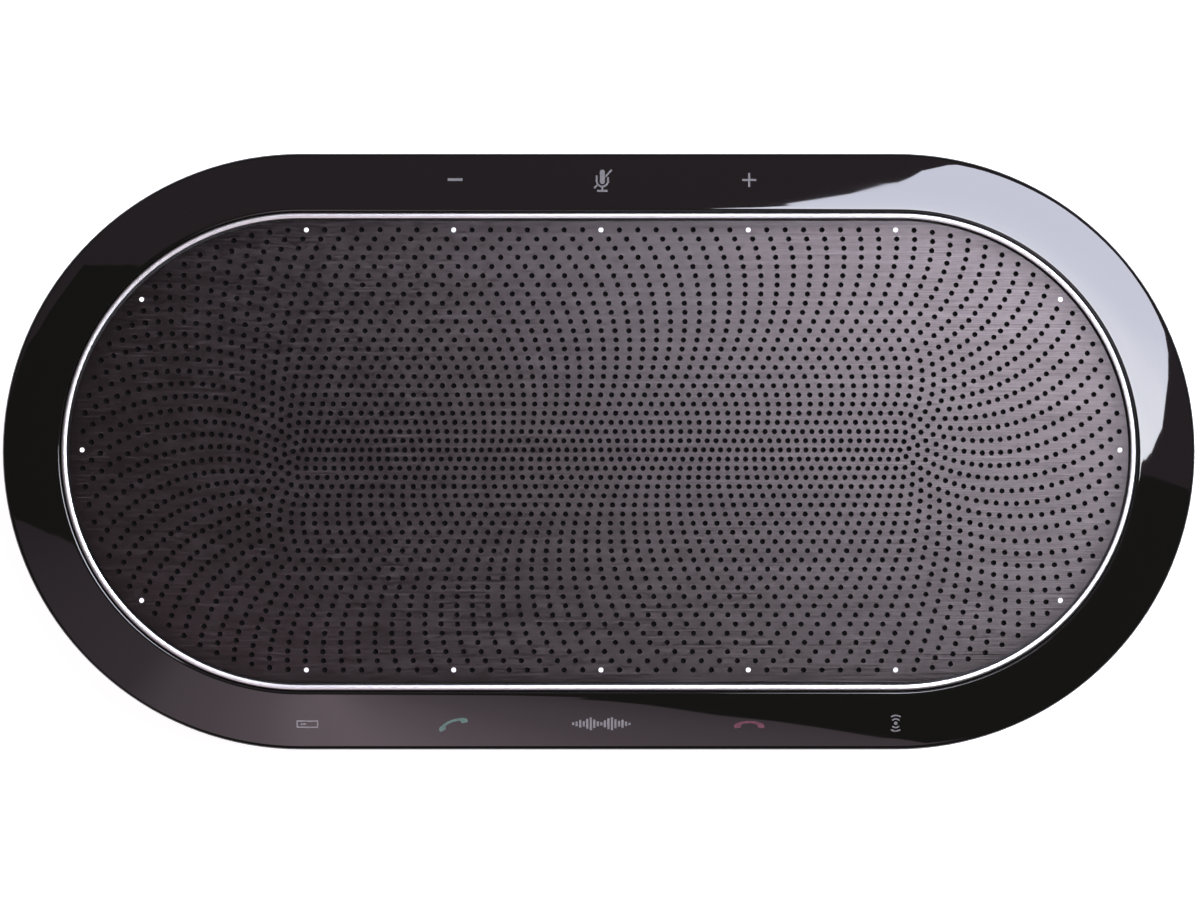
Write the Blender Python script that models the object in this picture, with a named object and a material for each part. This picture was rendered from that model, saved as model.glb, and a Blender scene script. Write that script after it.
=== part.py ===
"""Conference speakerphone: a long stadium-shaped desktop unit in a gloss bezel with a
perforated metal grille, two loudspeaker drivers, touch boards and a rear socket bay.

Frame: X along the length, Y across the width with the user's side at -Y and the
sockets at +Y, Z up, origin at the middle of the resting plane under the rubber foot.
Every stadium outline is offset from one spine, a line along X through the centre.
"""

import math

import bmesh
import bpy
from mathutils import Matrix, Vector

for leftover in list(bpy.data.objects):
    bpy.data.objects.remove(leftover, do_unlink=True)

MM = 0.001

# Driving dimensions, in millimetres.
SPINE_HALF = 81.5          # half the length of the straight spine
OUTER_R = 81.5             # outer edge of the bezel, measured from the spine
END_STEPS = 16             # facets in each half circle of a stadium
TURN_STEPS = 16            # facets of a turned driver piece

BEZEL_INNER_R = 65.8
BEZEL_CROWN_R = 67.0
BEZEL_CROWN_Z = 62.4
BEZEL_EDGE_R = 80.4
BEZEL_TILT_IN = math.radians(3.0)
BEZEL_TILT_OUT = math.radians(16.0)
BEZEL_WALL = 2.2
BEZEL_SKIRT_Z = 52.0

TRIM_R = (63.8, 65.4)
TRIM_Z = (60.1, 62.6)
GRILLE_R = 63.4
GRILLE_Z = (60.8, 62.0)
CLOTH_R = 63.2
CLOTH_Z = (60.1, 60.5)

LIGHT_RING_R = 60.0        # the outermost row of holes, which carries the lights
LIGHT_ROW_HOLES = 140      # holes in that row, at equal steps along it
LIGHT_INDICES = (0, 8, 16, 26, 35, 44, 54, 62, 70, 78, 86, 96, 105, 114, 124, 132)
LIGHT_PIN_R = 0.8
LIGHT_HOLE_R = 1.1
LIGHT_GUIDE_R = (58.4, 61.6)
LIGHT_GUIDE_Z = (57.0, 59.8)
LED_BOARD_R = (57.2, 62.2)
LED_BOARD_Z = (54.7, 55.9)

CHASSIS_PLATE_Z = (47.9, 50.4)
CHASSIS_R = 74.8
CHASSIS_WALL_R = (62.7, 65.3)
CHASSIS_SHELF_R = 55.5
CHASSIS_SHELF_Z = 54.4

HOUSING_WALL = 2.4
HOUSING_OUTSIDE = ((64.0, 2.2), (68.0, 3.6), (72.0, 12.5), (76.2, 26.0), (78.8, 40.0),
                   (79.6, 50.5), (78.5, 50.5), (78.5, 53.8))
HOUSING_INSIDE = ((62.0, 4.8), (65.6, 5.8), (69.6, 12.8), (73.8, 26.2), (76.4, 40.1),
                  (77.2, 50.5), (77.2, 56.0))
FOOT_R = (55.0, 61.0)
FOOT_Z = (0.0, 3.1)
GROOVE_R = (54.7, 61.3)
GROOVE_TOP_Z = 3.4

BAY_HALF = 40.0            # half width of the rear socket bay
BAY_FACE_Y = 64.4          # its upright face, where the sockets open
BAY_TOP_Z = 24.0
BAY_WALL = 2.4

PILLAR_SPOTS = ((48.0, 58.0), (48.0, -58.0), (-48.0, 58.0), (-48.0, -58.0),
                (SPINE_HALF + 58.0, 0.0), (-SPINE_HALF - 58.0, 0.0))
PILLAR_R = 4.6

DRIVER_HOLE_R = 33.0
SPEAKER_BOX_R = 44.0
SPEAKER_BOX_Z = (6.2, 47.6)

MAIN_BOARD_Z = (12.4, 14.0)
PORT_BOARD_Z = (6.2, 7.8)
BUTTON_X = -31.0
BUTTON_Z = 13.6
LOCK_X = -19.0


def principled(name, colour, roughness, metallic=0.0, alpha=1.0):
    material = bpy.data.materials.new(name)
    material.use_nodes = True
    shader = material.node_tree.nodes["Principled BSDF"]
    shader.inputs["Base Color"].default_value = (*colour, 1.0)
    shader.inputs["Roughness"].default_value = roughness
    shader.inputs["Metallic"].default_value = metallic
    shader.inputs["Alpha"].default_value = alpha
    return material


def build(name, shape, material=None, origin=(0.0, 0.0, 0.0)):
    """Turns a bmesh drawn in millimetres into an object whose origin is at the given point."""
    bmesh.ops.translate(shape, verts=shape.verts, vec=-Vector(origin))
    bmesh.ops.scale(shape, verts=shape.verts, vec=(MM, MM, MM))
    bmesh.ops.recalc_face_normals(shape, faces=shape.faces)
    mesh = bpy.data.meshes.new(name)
    shape.to_mesh(mesh)
    shape.free()
    piece = bpy.data.objects.new(name, mesh)
    piece.location = Vector(origin) * MM
    bpy.context.scene.collection.objects.link(piece)
    if material:
        mesh.materials.append(material)
        mesh.shade_smooth()
        mesh.set_sharp_from_angle(angle=math.radians(35))
    return piece


def boolean(piece, shape, operation):
    """Adds or cuts a bmesh drawn in millimetres, kept as a hidden helper object."""
    helper = build(f"{piece.name}_{operation.lower()}", shape)
    helper.hide_render = True
    helper.display_type = "WIRE"
    helper.hide_set(True)
    modifier = piece.modifiers.new(operation.title(), "BOOLEAN")
    modifier.operation = operation
    modifier.object = helper
    modifier.solver = "EXACT"
    return helper


def join_rings(shape, rings, closed):
    """Skins consecutive rings of points. A ring of one point is a pole."""
    made = [[shape.verts.new(point) for point in ring] for ring in rings]
    pairs = list(zip(made, made[1:]))
    if closed:
        pairs.append((made[-1], made[0]))
    for lower, upper in pairs:
        count = max(len(lower), len(upper))
        for i in range(count):
            j = (i + 1) % count
            if len(lower) == 1:
                shape.faces.new((lower[0], upper[j], upper[i]))
            elif len(upper) == 1:
                shape.faces.new((lower[i], lower[j], upper[0]))
            else:
                shape.faces.new((lower[i], lower[j], upper[j], upper[i]))
    if not closed:
        for ring in (made[0], made[-1]):
            if len(ring) > 2:
                shape.faces.new(ring)


def stadium_ring(radius, z):
    ring = []
    for side in (1, -1):
        for i in range(END_STEPS + 1):
            turn = -math.pi / 2 + math.pi * i / END_STEPS
            ring.append((side * (SPINE_HALF + radius * math.cos(turn)),
                         side * radius * math.sin(turn), z))
    return ring


def add_stadium(shape, section, closed=False):
    """Carries a section of (distance from the spine, height) round the stadium."""
    join_rings(shape, [stadium_ring(r, z) for r, z in section], closed)


def add_turned(shape, section, centre=(0.0, 0.0), steps=TURN_STEPS, closed=False):
    """Turns a section of (radius, height) about an upright axis."""
    rings = []
    for radius, z in section:
        if radius == 0:
            rings.append([(*centre, z)])
            continue
        rings.append([(centre[0] + radius * math.cos(2 * math.pi * i / steps),
                       centre[1] + radius * math.sin(2 * math.pi * i / steps), z)
                      for i in range(steps)])
    join_rings(shape, rings, closed)


def add_box(shape, x, y, z):
    made = bmesh.ops.create_cube(shape, size=1.0)
    middle = Vector((sum(x) / 2, sum(y) / 2, sum(z) / 2))
    size = Matrix.Diagonal((x[1] - x[0], y[1] - y[0], z[1] - z[0], 1.0))
    bmesh.ops.transform(shape, verts=made["verts"], matrix=Matrix.Translation(middle) @ size)


def add_rod(shape, start, end, radius, steps=12):
    """A straight cylinder between two points."""
    start, end = Vector(start), Vector(end)
    along = end - start
    turn = along.to_track_quat("Z", "Y").to_matrix().to_4x4()
    bmesh.ops.create_cone(shape, cap_ends=True, segments=steps, radius1=radius, radius2=radius,
                          depth=along.length,
                          matrix=Matrix.Translation((start + end) / 2) @ turn)


def add_prism(shape, outline, place):
    """Closes an outline given as pairs between two ends. place(a, b, end) gives each point."""
    ends = [[shape.verts.new(place(a, b, end)) for a, b in outline] for end in (-1, 1)]
    for ring in ends:
        shape.faces.new(ring)
    for i in range(len(outline)):
        j = (i + 1) % len(outline)
        shape.faces.new((ends[0][i], ends[0][j], ends[1][j], ends[1][i]))


def add_strip(shape, path, thickness, place):
    """A band of even thickness that follows a path, such as a ribbon cable."""
    points = [Vector(p) for p in path]
    sides = ([], [])
    for i, point in enumerate(points):
        before = points[max(i - 1, 0)]
        after = points[min(i + 1, len(points) - 1)]
        along = (after - before).normalized()
        across = Vector((-along.y, along.x)) * thickness / 2
        sides[0].append(point + across)
        sides[1].append(point - across)
    add_prism(shape, sides[0] + sides[1][::-1], place)


def add_tube(shape, path, radius, steps=8):
    """A round wire along a path."""
    points = [Vector(p) for p in path]
    rings = []
    for i, point in enumerate(points):
        along = points[min(i + 1, len(points) - 1)] - points[max(i - 1, 0)]
        turn = along.to_track_quat("Z", "Y").to_matrix()
        rings.append([point + turn @ Vector((radius * math.cos(2 * math.pi * k / steps),
                                             radius * math.sin(2 * math.pi * k / steps), 0))
                      for k in range(steps)])
    join_rings(shape, rings, False)


def along_row(radius, distance):
    """The point at a distance clockwise from the rear middle, on the row at that radius."""
    half, bend = SPINE_HALF, math.pi * radius
    distance %= 4 * half + 2 * bend
    if distance < half:
        return distance, radius
    if distance < half + bend:
        turn = (distance - half) / radius
        return half + radius * math.sin(turn), radius * math.cos(turn)
    if distance < 3 * half + bend:
        return 2 * half + bend - distance, -radius
    if distance < 3 * half + 2 * bend:
        turn = (distance - 3 * half - bend) / radius
        return -half - radius * math.sin(turn), -radius * math.cos(turn)
    return distance - 4 * half - 2 * bend, radius


def light_spots():
    row = 4 * SPINE_HALF + 2 * math.pi * LIGHT_RING_R
    return [along_row(LIGHT_RING_R, row * k / LIGHT_ROW_HOLES) for k in LIGHT_INDICES]


def bezel_top(radius):
    """Height of the gently domed bezel, whose slope grows evenly from inside to outside."""
    out = radius - BEZEL_CROWN_R
    slope_in, slope_out = math.tan(BEZEL_TILT_IN), math.tan(BEZEL_TILT_OUT)
    growth = (slope_out - slope_in) / (2 * (BEZEL_EDGE_R - BEZEL_CROWN_R))
    return BEZEL_CROWN_Z - slope_in * out - growth * out * out


def make_bezel(material):
    section = [(BEZEL_INNER_R, 58.4), (BEZEL_INNER_R, 61.7), (66.15, 62.2)]
    section += [(r, bezel_top(r)) for r in (BEZEL_CROWN_R, 71.5, 76.0, BEZEL_EDGE_R)]
    section += [(81.25, 59.6), (OUTER_R, 58.6), (81.1, BEZEL_SKIRT_Z), (79.1, BEZEL_SKIRT_Z),
                (79.3, 57.4)]
    section += [(r, bezel_top(r) - BEZEL_WALL) for r in (77.8, 71.5, 67.8)]
    section += [(67.8, 58.4)]
    shape = bmesh.new()
    add_stadium(shape, section, closed=True)
    bezel = build("bezel", shape, material)
    hooks = bmesh.new()
    hook = ((75.2, 60.0), (75.2, 47.5), (73.6, 47.5), (73.6, 46.9), (75.0, 46.0),
            (76.0, 46.0), (76.0, 60.0))
    spots = [(side * SPINE_HALF, math.radians(angle if side > 0 else 180 - angle))
             for side in (1, -1) for angle in (-60, -25, 25, 60)]
    spots += [(x, math.radians(angle)) for x in (-20.0, 20.0) for angle in (90, -90)]
    for x, angle in spots:
        outward = Vector((math.cos(angle), math.sin(angle), 0))
        across = Vector((-math.sin(angle), math.cos(angle), 0))

        def place(r, z, end, x=x, outward=outward, across=across):
            return Vector((x, 0, z)) + outward * r + across * 3.0 * end

        add_prism(hooks, hook, place)
    boolean(bezel, hooks, "UNION")


def make_trim_ring(material):
    (inner, outer), (low, high) = TRIM_R, TRIM_Z
    shape = bmesh.new()
    add_stadium(shape, [(inner, low), (inner, high - 0.25), (inner + 0.25, high),
                        (outer - 0.25, high), (outer, high - 0.25), (outer, low)], closed=True)
    build("trim_ring", shape, material)


def make_flat_sheet(name, radius, heights, hole_radius, material):
    shape = bmesh.new()
    add_stadium(shape, [(radius, heights[0]), (radius, heights[1])])
    sheet = build(name, shape, material)
    holes = bmesh.new()
    for x, y in light_spots():
        add_rod(holes, (x, y, heights[0] - 1), (x, y, heights[1] + 1), hole_radius, 8)
    boolean(sheet, holes, "DIFFERENCE")


def make_light_guide(material):
    (inner, outer), (low, high) = LIGHT_GUIDE_R, LIGHT_GUIDE_Z
    shape = bmesh.new()
    add_stadium(shape, [(inner, low), (inner, high), (outer, high), (outer, low)], closed=True)
    guide = build("light_guide", shape, material)
    pins = bmesh.new()
    for x, y in light_spots():
        add_rod(pins, (x, y, high - 1), (x, y, GRILLE_Z[1]), LIGHT_PIN_R, 6)
    boolean(guide, pins, "UNION")


def make_led_board(material):
    (inner, outer), (low, high) = LED_BOARD_R, LED_BOARD_Z
    shape = bmesh.new()
    add_stadium(shape, [(inner, low), (inner, high), (outer, high), (outer, low)], closed=True)
    board = build("led_board", shape, material)
    lamps = bmesh.new()
    for x, y in light_spots():
        add_box(lamps, (x - 1.5, x + 1.5), (y - 1.5, y + 1.5), (low + 0.5, high + 0.8))
    boolean(board, lamps, "UNION")


def make_touch_board(name, side, half_length, material):
    shape = bmesh.new()
    near, far = sorted((side * 70.2, side * 77.2))
    add_box(shape, (-half_length, half_length), (near, far), (57.5, 58.4))
    board = build(name, shape, material)
    notches = bmesh.new()
    near, far = sorted((side * 74.8, side * 79.0))
    for x in (-20.0, 20.0):
        add_box(notches, (x - 3.6, x + 3.6), (near, far), (56.0, 60.0))
    boolean(board, notches, "DIFFERENCE")
    plug = bmesh.new()
    near, far = sorted((side * 71.0, side * 73.6))
    add_box(plug, (-6.6, 6.6), (near, far), (57.3, 58.0))
    boolean(board, plug, "UNION")


def make_contactless_antenna(material):
    shape = bmesh.new()
    add_box(shape, (-96.0, -66.0), (-76.4, -66.4), (55.9, 56.7))
    antenna = build("contactless_antenna", shape, material)
    middle = bmesh.new()
    add_box(middle, (-92.5, -69.5), (-73.4, -69.4), (55.0, 58.0))
    boolean(antenna, middle, "DIFFERENCE")


def make_chassis(material):
    (low, plate), (wall_in, wall_out) = CHASSIS_PLATE_Z, CHASSIS_WALL_R
    shape = bmesh.new()
    add_stadium(shape, [(CHASSIS_R, low), (CHASSIS_R, plate), (wall_out, plate),
                        (wall_out, 59.8), (wall_in, 59.8), (wall_in, CHASSIS_SHELF_Z),
                        (CHASSIS_SHELF_R, CHASSIS_SHELF_Z), (CHASSIS_SHELF_R, plate)])
    chassis = build("chassis", shape, material)
    openings = bmesh.new()
    for x in (-SPINE_HALF, SPINE_HALF):
        add_rod(openings, (x, 0, low - 1), (x, 0, plate + 1), DRIVER_HOLE_R, TURN_STEPS)
    for side in (-1, 1):
        near, far = sorted((side * 66.4, side * 69.8))
        add_box(openings, (-8, 8), (near, far), (low - 1, plate + 1))
    for x, y in PILLAR_SPOTS:
        add_rod(openings, (x, y, low - 1), (x, y, 53.4), 1.8, 10)
    boolean(chassis, openings, "DIFFERENCE")


def make_lower_housing(material):
    shape = bmesh.new()
    add_stadium(shape, HOUSING_OUTSIDE)
    housing = build("lower_housing", shape, material)
    hollow_shape = bmesh.new()
    add_stadium(hollow_shape, HOUSING_INSIDE)
    hollow = boolean(housing, hollow_shape, "DIFFERENCE")

    # What stands up inside the bowl: screw pillars, board posts and the bay's wall.
    lumps = bmesh.new()
    for x, y in PILLAR_SPOTS:
        add_rod(lumps, (x, y, 2), (x, y, CHASSIS_PLATE_Z[0] - 0.3), PILLAR_R, 12)
    for x in (-31.0, 31.0):
        for y in (-46.0, 26.0):
            add_rod(lumps, (x, y, 2), (x, y, MAIN_BOARD_Z[0] - 0.3), 3.0, 10)
        add_box(lumps, (x - 3, x + 3), (38, 54), (2, PORT_BOARD_Z[0] - 0.3))
    wall = BAY_HALF + BAY_WALL
    add_box(lumps, (-wall, wall), (BAY_FACE_Y - BAY_WALL, 90), (2, BAY_TOP_Z + BAY_WALL))
    boolean(hollow, lumps, "DIFFERENCE")

    bay = bmesh.new()
    add_box(bay, (-BAY_HALF, BAY_HALF), (BAY_FACE_Y, 95), (-1, BAY_TOP_Z))
    add_stadium(bay, [(GROOVE_R[0], 1), (GROOVE_R[0], GROOVE_TOP_Z),
                      (GROOVE_R[1], GROOVE_TOP_Z), (GROOVE_R[1], 1)], closed=True)
    boolean(housing, bay, "DIFFERENCE")

    holes = bmesh.new()
    for x, y in PILLAR_SPOTS:
        add_rod(holes, (x, y, 3), (x, y, 39.8), 3.2, 10)
    for x_span, z_span in (((-12.5, 2.5), (7.9, 15.6)), ((5.6, 18.4), (7.9, 19.3)),
                           ((20.2, 27.8), (7.9, 14.4)), ((28.4, 38.0), (7.9, 19.4)),
                           ((LOCK_X - 3.7, LOCK_X + 3.7), (11.9, 15.3))):
        add_box(holes, x_span, (BAY_FACE_Y - BAY_WALL - 1, BAY_FACE_Y + 1), z_span)
    add_rod(holes, (BUTTON_X, BAY_FACE_Y - BAY_WALL - 1, BUTTON_Z),
            (BUTTON_X, BAY_FACE_Y + 1, BUTTON_Z), 4.3, 16)
    boolean(housing, holes, "DIFFERENCE")

    threads = bmesh.new()
    for x, y in PILLAR_SPOTS:
        add_rod(threads, (x, y, 38), (x, y, 49), 1.8, 10)
    boolean(housing, threads, "DIFFERENCE")


def make_foot_ring(material):
    (inner, outer), (low, high) = FOOT_R, FOOT_Z
    shape = bmesh.new()
    add_stadium(shape, [(inner, low), (inner, high), (outer, high), (outer, low)], closed=True)
    build("foot_ring", shape, material)


def make_rating_label(material):
    shape = bmesh.new()
    add_box(shape, (-35, 35), (-15, 15), (1.6, 1.9))
    build("rating_label", shape, material)


def make_housing_screws(material):
    for number, (x, y) in enumerate(PILLAR_SPOTS, 1):
        shape = bmesh.new()
        add_turned(shape, [(1.1, 37.8), (1.1, 36.6), (2.8, 36.6), (2.8, 38.2), (1.4, 39.4),
                           (1.4, 53.0)], (x, y), 10)
        build(f"housing_screw_{number}", shape, material)


def make_driver(side, materials):
    """One full-range driver, named for its side, with its axis upright at a spine end."""
    x = SPINE_HALF if side == "right" else -SPINE_HALF
    centre, axis = (x, 0.0), (x, 0.0, 0.0)

    shape = bmesh.new()
    add_turned(shape, [(36, 50.7), (36, 52.2), (30.6, 52.2), (29.6, 47), (25.6, 40),
                       (22, 40), (19, 33), (10.5, 33), (10.5, 31.4), (20, 31.4),
                       (23.6, 38), (31.2, 46.6), (31.9, 50.7)], centre, closed=True)
    basket = build(f"{side}_basket", shape, materials["steel"])
    windows = bmesh.new()
    for quarter in range(4):
        made = bmesh.ops.create_cube(windows, size=1.0)
        turn = Matrix.Rotation(math.radians(45 + 90 * quarter), 4, "Z")
        bmesh.ops.transform(windows, verts=made["verts"],
                            matrix=Matrix.Translation((x, 0, 43.8)) @ turn
                            @ Matrix.Translation((30, 0, 0)) @ Matrix.Diagonal((16, 17, 4.4, 1)))
    boolean(basket, windows, "DIFFERENCE")

    shape = bmesh.new()
    add_turned(shape, [(9.9, 27), (9.9, 31.1), (20, 31.1), (20, 27)], centre, closed=True)
    build(f"{side}_top_plate", shape, materials["plate"])

    shape = bmesh.new()
    add_turned(shape, [(12, 16.4), (12, 26.7), (23.2, 26.7), (24, 26), (24, 17.2),
                       (23.2, 16.4)], centre, closed=True)
    build(f"{side}_magnet", shape, materials["ferrite"])

    shape = bmesh.new()
    add_turned(shape, [(2.5, 12.6), (2.5, 31.1), (8.2, 31.1), (8.2, 16.1), (20, 16.1),
                       (20, 13.2), (19.2, 12.6)], centre, closed=True)
    build(f"{side}_yoke", shape, materials["plate"])

    shape = bmesh.new()
    add_turned(shape, [(9.4, 40.3), (9.4, 40.8), (12.2, 41.7), (15.4, 40.6), (18.6, 41.7),
                       (22, 40.8), (25, 40.8), (25, 40.3), (22, 40.3), (18.6, 41.2),
                       (15.4, 40.1), (12.2, 41.2)], centre, closed=True)
    build(f"{side}_spider", shape, materials["spider"])

    shape = bmesh.new()
    add_turned(shape, [(8.65, 29), (8.65, 45.6), (9.05, 45.6), (9.05, 35), (9.5, 34.7),
                       (9.5, 29.3), (9.05, 29)], centre, closed=True)
    build(f"{side}_voice_coil", shape, materials["copper"], axis)

    shape = bmesh.new()
    add_turned(shape, [(9.4, 44.6), (9.4, 45.5), (17.5, 49.2), (25.6, 52.3), (25.6, 51.6),
                       (17.5, 48.4)], centre, closed=True)
    build(f"{side}_cone", shape, materials["cone"], axis)

    shape = bmesh.new()
    add_turned(shape, [(24, 52.6), (24, 53.0), (26.5, 53.0), (27.7, 54.9), (29, 55.5),
                       (30.3, 54.9), (31.5, 53.0), (35, 53.0), (35, 52.5), (31, 52.5),
                       (29.9, 54.4), (29, 54.9), (28.1, 54.4), (27, 52.6)], centre, closed=True)
    build(f"{side}_surround", shape, materials["rubber"])

    shape = bmesh.new()
    add_turned(shape, [(0, 49.3), (5.4, 48.5), (9.0, 46.3), (10.4, 46.3), (9.6, 47.1),
                       (5.8, 49.1), (0, 49.9)], centre)
    build(f"{side}_dust_cap", shape, materials["cone"], axis)

    shape = bmesh.new()
    (low, high), radius = SPEAKER_BOX_Z, SPEAKER_BOX_R
    add_turned(shape, [(0, low), (radius - 1, low), (radius, low + 1), (radius, high),
                       (radius - 2.2, high), (radius - 2.2, low + 2.4), (0, low + 2.4)],
               centre, 28)
    box = build(f"{side}_speaker_box", shape, materials["inner"])
    inward = -1 if side == "right" else 1
    shape = bmesh.new()
    add_rod(shape, (x + inward * 38, 0, 24.4), (x + inward * 48, 0, 24.4), 1.6, 10)
    boolean(box, shape, "DIFFERENCE")

    shape = bmesh.new()
    path = [(x + inward * d, 0, z) for d, z in ((26.0, 36.6), (29.0, 31.0), (34.0, 26.0),
                                                (39.0, 24.4), (45.6, 24.4), (48.6, 21.5),
                                                (50.6, 18.4), (51.2, 16.6))]
    add_tube(shape, path, 0.9)
    build(f"{side}_speaker_lead", shape, materials["rubber"])


def make_microphones(material):
    spots = [(side * (SPINE_HALF + 70.2 * math.cos(math.radians(40))),
              edge * 70.2 * math.sin(math.radians(40)))
             for side, edge in ((-1, -1), (1, -1), (1, 1), (-1, 1))]
    for number, (x, y) in enumerate(spots, 1):
        shape = bmesh.new()
        add_turned(shape, [(0.7, 50.7), (0.7, 54.6), (3.0, 54.6), (3.2, 52.6), (4.4, 52.6),
                           (4.4, 50.7)], (x, y), 12, closed=True)
        build(f"microphone_{number}", shape, material)


def make_main_board(board, metal, module):
    shape = bmesh.new()
    low, high = MAIN_BOARD_Z
    add_box(shape, (-35, 35), (-50, 30), (low, high))
    main = build("main_board", shape, board)
    fitted = bmesh.new()
    for y in (-47.5, 17.0):
        add_box(fitted, (-7, 7), (y, y + 4), (high - 0.5, 16.0))
    for x in (-30.3, 30.3):
        add_box(fitted, (x - 2.6, x + 2.6), (-3, 3), (high - 0.5, 16.0))
    for y in (-38, -26):
        add_rod(fitted, (-24, y, high - 0.5), (-24, y, 25.0), 4.0, 12)
    for x, y, half, top in ((-24, -13, 3.5, 17), (24, 14, 4, 18), (-3, -26, 4.5, 15.4),
                            (10, -24, 3, 15.2)):
        add_box(fitted, (x - half, x + half), (y - half, y + half), (high - 0.5, top))
    boolean(main, fitted, "UNION")

    shape = bmesh.new()
    add_box(shape, (-15, 15), (-12, 12), (14.3, 17.3))
    can = build("shield_can", shape, metal)
    shape = bmesh.new()
    add_box(shape, (-14.6, 14.6), (-11.6, 11.6), (13.0, 16.9))
    boolean(can, shape, "DIFFERENCE")

    shape = bmesh.new()
    add_box(shape, (18, 33), (-42, -20), (14.3, 15.2))
    radio = build("wireless_module", shape, module)
    shape = bmesh.new()
    add_box(shape, (19.2, 31.8), (-35, -21), (14.8, 16.8))
    boolean(radio, shape, "UNION")

    shape = bmesh.new()
    low, high = PORT_BOARD_Z
    add_box(shape, (-38, 38), (36, 61.6), (low, high))
    port = build("port_board", shape, board)
    fitted = bmesh.new()
    for x, y, half, top in ((-8, 40.5, 2.5, 9.3), (3, 41, 3, 9.0), (-20, 41, 2, 10),
                            (22, 40.5, 3.4, 12.5)):
        add_box(fitted, (x - half, x + half), (y - half, y + half), (high - 0.5, top))
    boolean(port, fitted, "UNION")


def make_socket(name, x, y, z, mouth, depth, tongue, material):
    """A box-shaped socket: a shell with a mouth at its rear face and a contact tongue."""
    shape = bmesh.new()
    add_box(shape, x, y, z)
    socket = build(name, shape, material)
    (mouth_x, mouth_z) = mouth
    hollow_shape = bmesh.new()
    add_box(hollow_shape, mouth_x, (y[1] - depth, y[1] + 1), mouth_z)
    hollow = boolean(socket, hollow_shape, "DIFFERENCE")
    core = bmesh.new()
    add_box(core, tongue[0], (y[1] - depth - 1, y[1] - 1.2), tongue[1])
    boolean(hollow, core, "DIFFERENCE")


def make_round_socket(name, x, y, z, bore, depth, pin, material):
    """A block-shaped socket with a round bore and, if it has one, a centre pin."""
    shape = bmesh.new()
    add_box(shape, x, y, z)
    socket = build(name, shape, material)
    (centre_x, centre_z, radius) = bore
    hollow_shape = bmesh.new()
    add_rod(hollow_shape, (centre_x, y[1] - depth, centre_z), (centre_x, y[1] + 1, centre_z),
            radius, 16)
    hollow = boolean(socket, hollow_shape, "DIFFERENCE")
    if pin:
        core = bmesh.new()
        add_rod(core, (centre_x, y[1] - depth - 1, centre_z), (centre_x, y[1] - 1, centre_z),
                pin, 10)
        boolean(hollow, core, "DIFFERENCE")


def make_sockets(metal, plastic):
    make_socket("usb_a_socket", (-12.2, 2.2), (49.6, 64.1), (8.1, 15.3),
                ((-11.3, 1.3), (9.2, 14.3)), 11.0, ((-10.6, 0.6), (12.0, 13.6)), metal)
    make_socket("usb_b_socket", (5.9, 18.1), (48.0, 64.1), (8.1, 19.0),
                ((7.75, 16.25), (9.6, 17.4)), 10.0, ((9.2, 14.8), (11.9, 15.1)), metal)
    make_round_socket("audio_socket", (20.5, 27.5), (50.0, 64.1), (8.1, 14.1),
                      (24.0, 11.1, 1.8), 12.0, None, plastic)
    make_round_socket("power_inlet", (28.7, 37.7), (49.8, 64.1), (8.1, 19.1),
                      (33.2, 13.8, 3.2), 10.0, 1.0, plastic)


def make_lock_plate(material):
    shape = bmesh.new()
    add_box(shape, (LOCK_X - 6.4, LOCK_X + 6.4), (60.3, 61.7), (8.1, 19.0))
    plate = build("lock_plate", shape, material)
    shape = bmesh.new()
    add_box(shape, (LOCK_X - 3.5, LOCK_X + 3.5), (59, 63), (12.1, 15.1))
    boolean(plate, shape, "DIFFERENCE")


def make_power_button(button_material, switch_material):
    """The cap slides towards -Y against the small switch on the port board."""
    axis = (BUTTON_X, BAY_FACE_Y, BUTTON_Z)
    shape = bmesh.new()
    rings = []
    for radius, y in ((1.3, 57.6), (1.3, 60.2), (5.0, 60.2), (5.0, 61.5), (3.9, 61.5),
                      (3.9, 64.9), (3.5, 65.2)):
        rings.append([(BUTTON_X + radius * math.sin(2 * math.pi * i / 16), y,
                       BUTTON_Z + radius * math.cos(2 * math.pi * i / 16)) for i in range(16)])
    join_rings(shape, rings, False)
    build("power_button", shape, button_material, axis)

    shape = bmesh.new()
    add_box(shape, (BUTTON_X - 3, BUTTON_X + 3), (52.4, 56.0), (8.1, 16.8))
    switch = build("power_switch", shape, switch_material)
    shape = bmesh.new()
    add_rod(shape, (BUTTON_X, 53.8, BUTTON_Z), (BUTTON_X, 57.0, BUTTON_Z), 2.0, 12)
    boolean(switch, shape, "DIFFERENCE")

    shape = bmesh.new()
    add_rod(shape, (BUTTON_X, 54.9, BUTTON_Z), (BUTTON_X, 57.3, BUTTON_Z), 1.6, 12)
    build("switch_plunger", shape, button_material, axis)


def make_ribbon(name, path, material):
    shape = bmesh.new()
    add_strip(shape, path, 0.4, lambda y, z, end: (6.0 * end, y, z))
    build(name, shape, material)


gloss_black = principled("gloss_black", (0.012, 0.011, 0.012), 0.06)
matte_black = principled("matte_black", (0.03, 0.03, 0.031), 0.5)
inner_black = principled("inner_black", (0.05, 0.05, 0.052), 0.6)
brushed_grille = principled("brushed_grille", (0.30, 0.28, 0.29), 0.35, 1.0)
bright_metal = principled("bright_metal", (0.92, 0.92, 0.92), 0.12, 1.0)
plated_steel = principled("plated_steel", (0.62, 0.62, 0.62), 0.3, 1.0)
dark_steel = principled("dark_steel", (0.09, 0.09, 0.1), 0.45, 0.8)
ferrite = principled("ferrite", (0.07, 0.07, 0.075), 0.7)
copper = principled("copper", (0.72, 0.34, 0.18), 0.35, 1.0)
paper_cone = principled("paper_cone", (0.035, 0.035, 0.037), 0.75)
soft_rubber = principled("soft_rubber", (0.02, 0.02, 0.02), 0.8)
spider_cloth = principled("spider_cloth", (0.62, 0.48, 0.22), 0.9)
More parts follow.
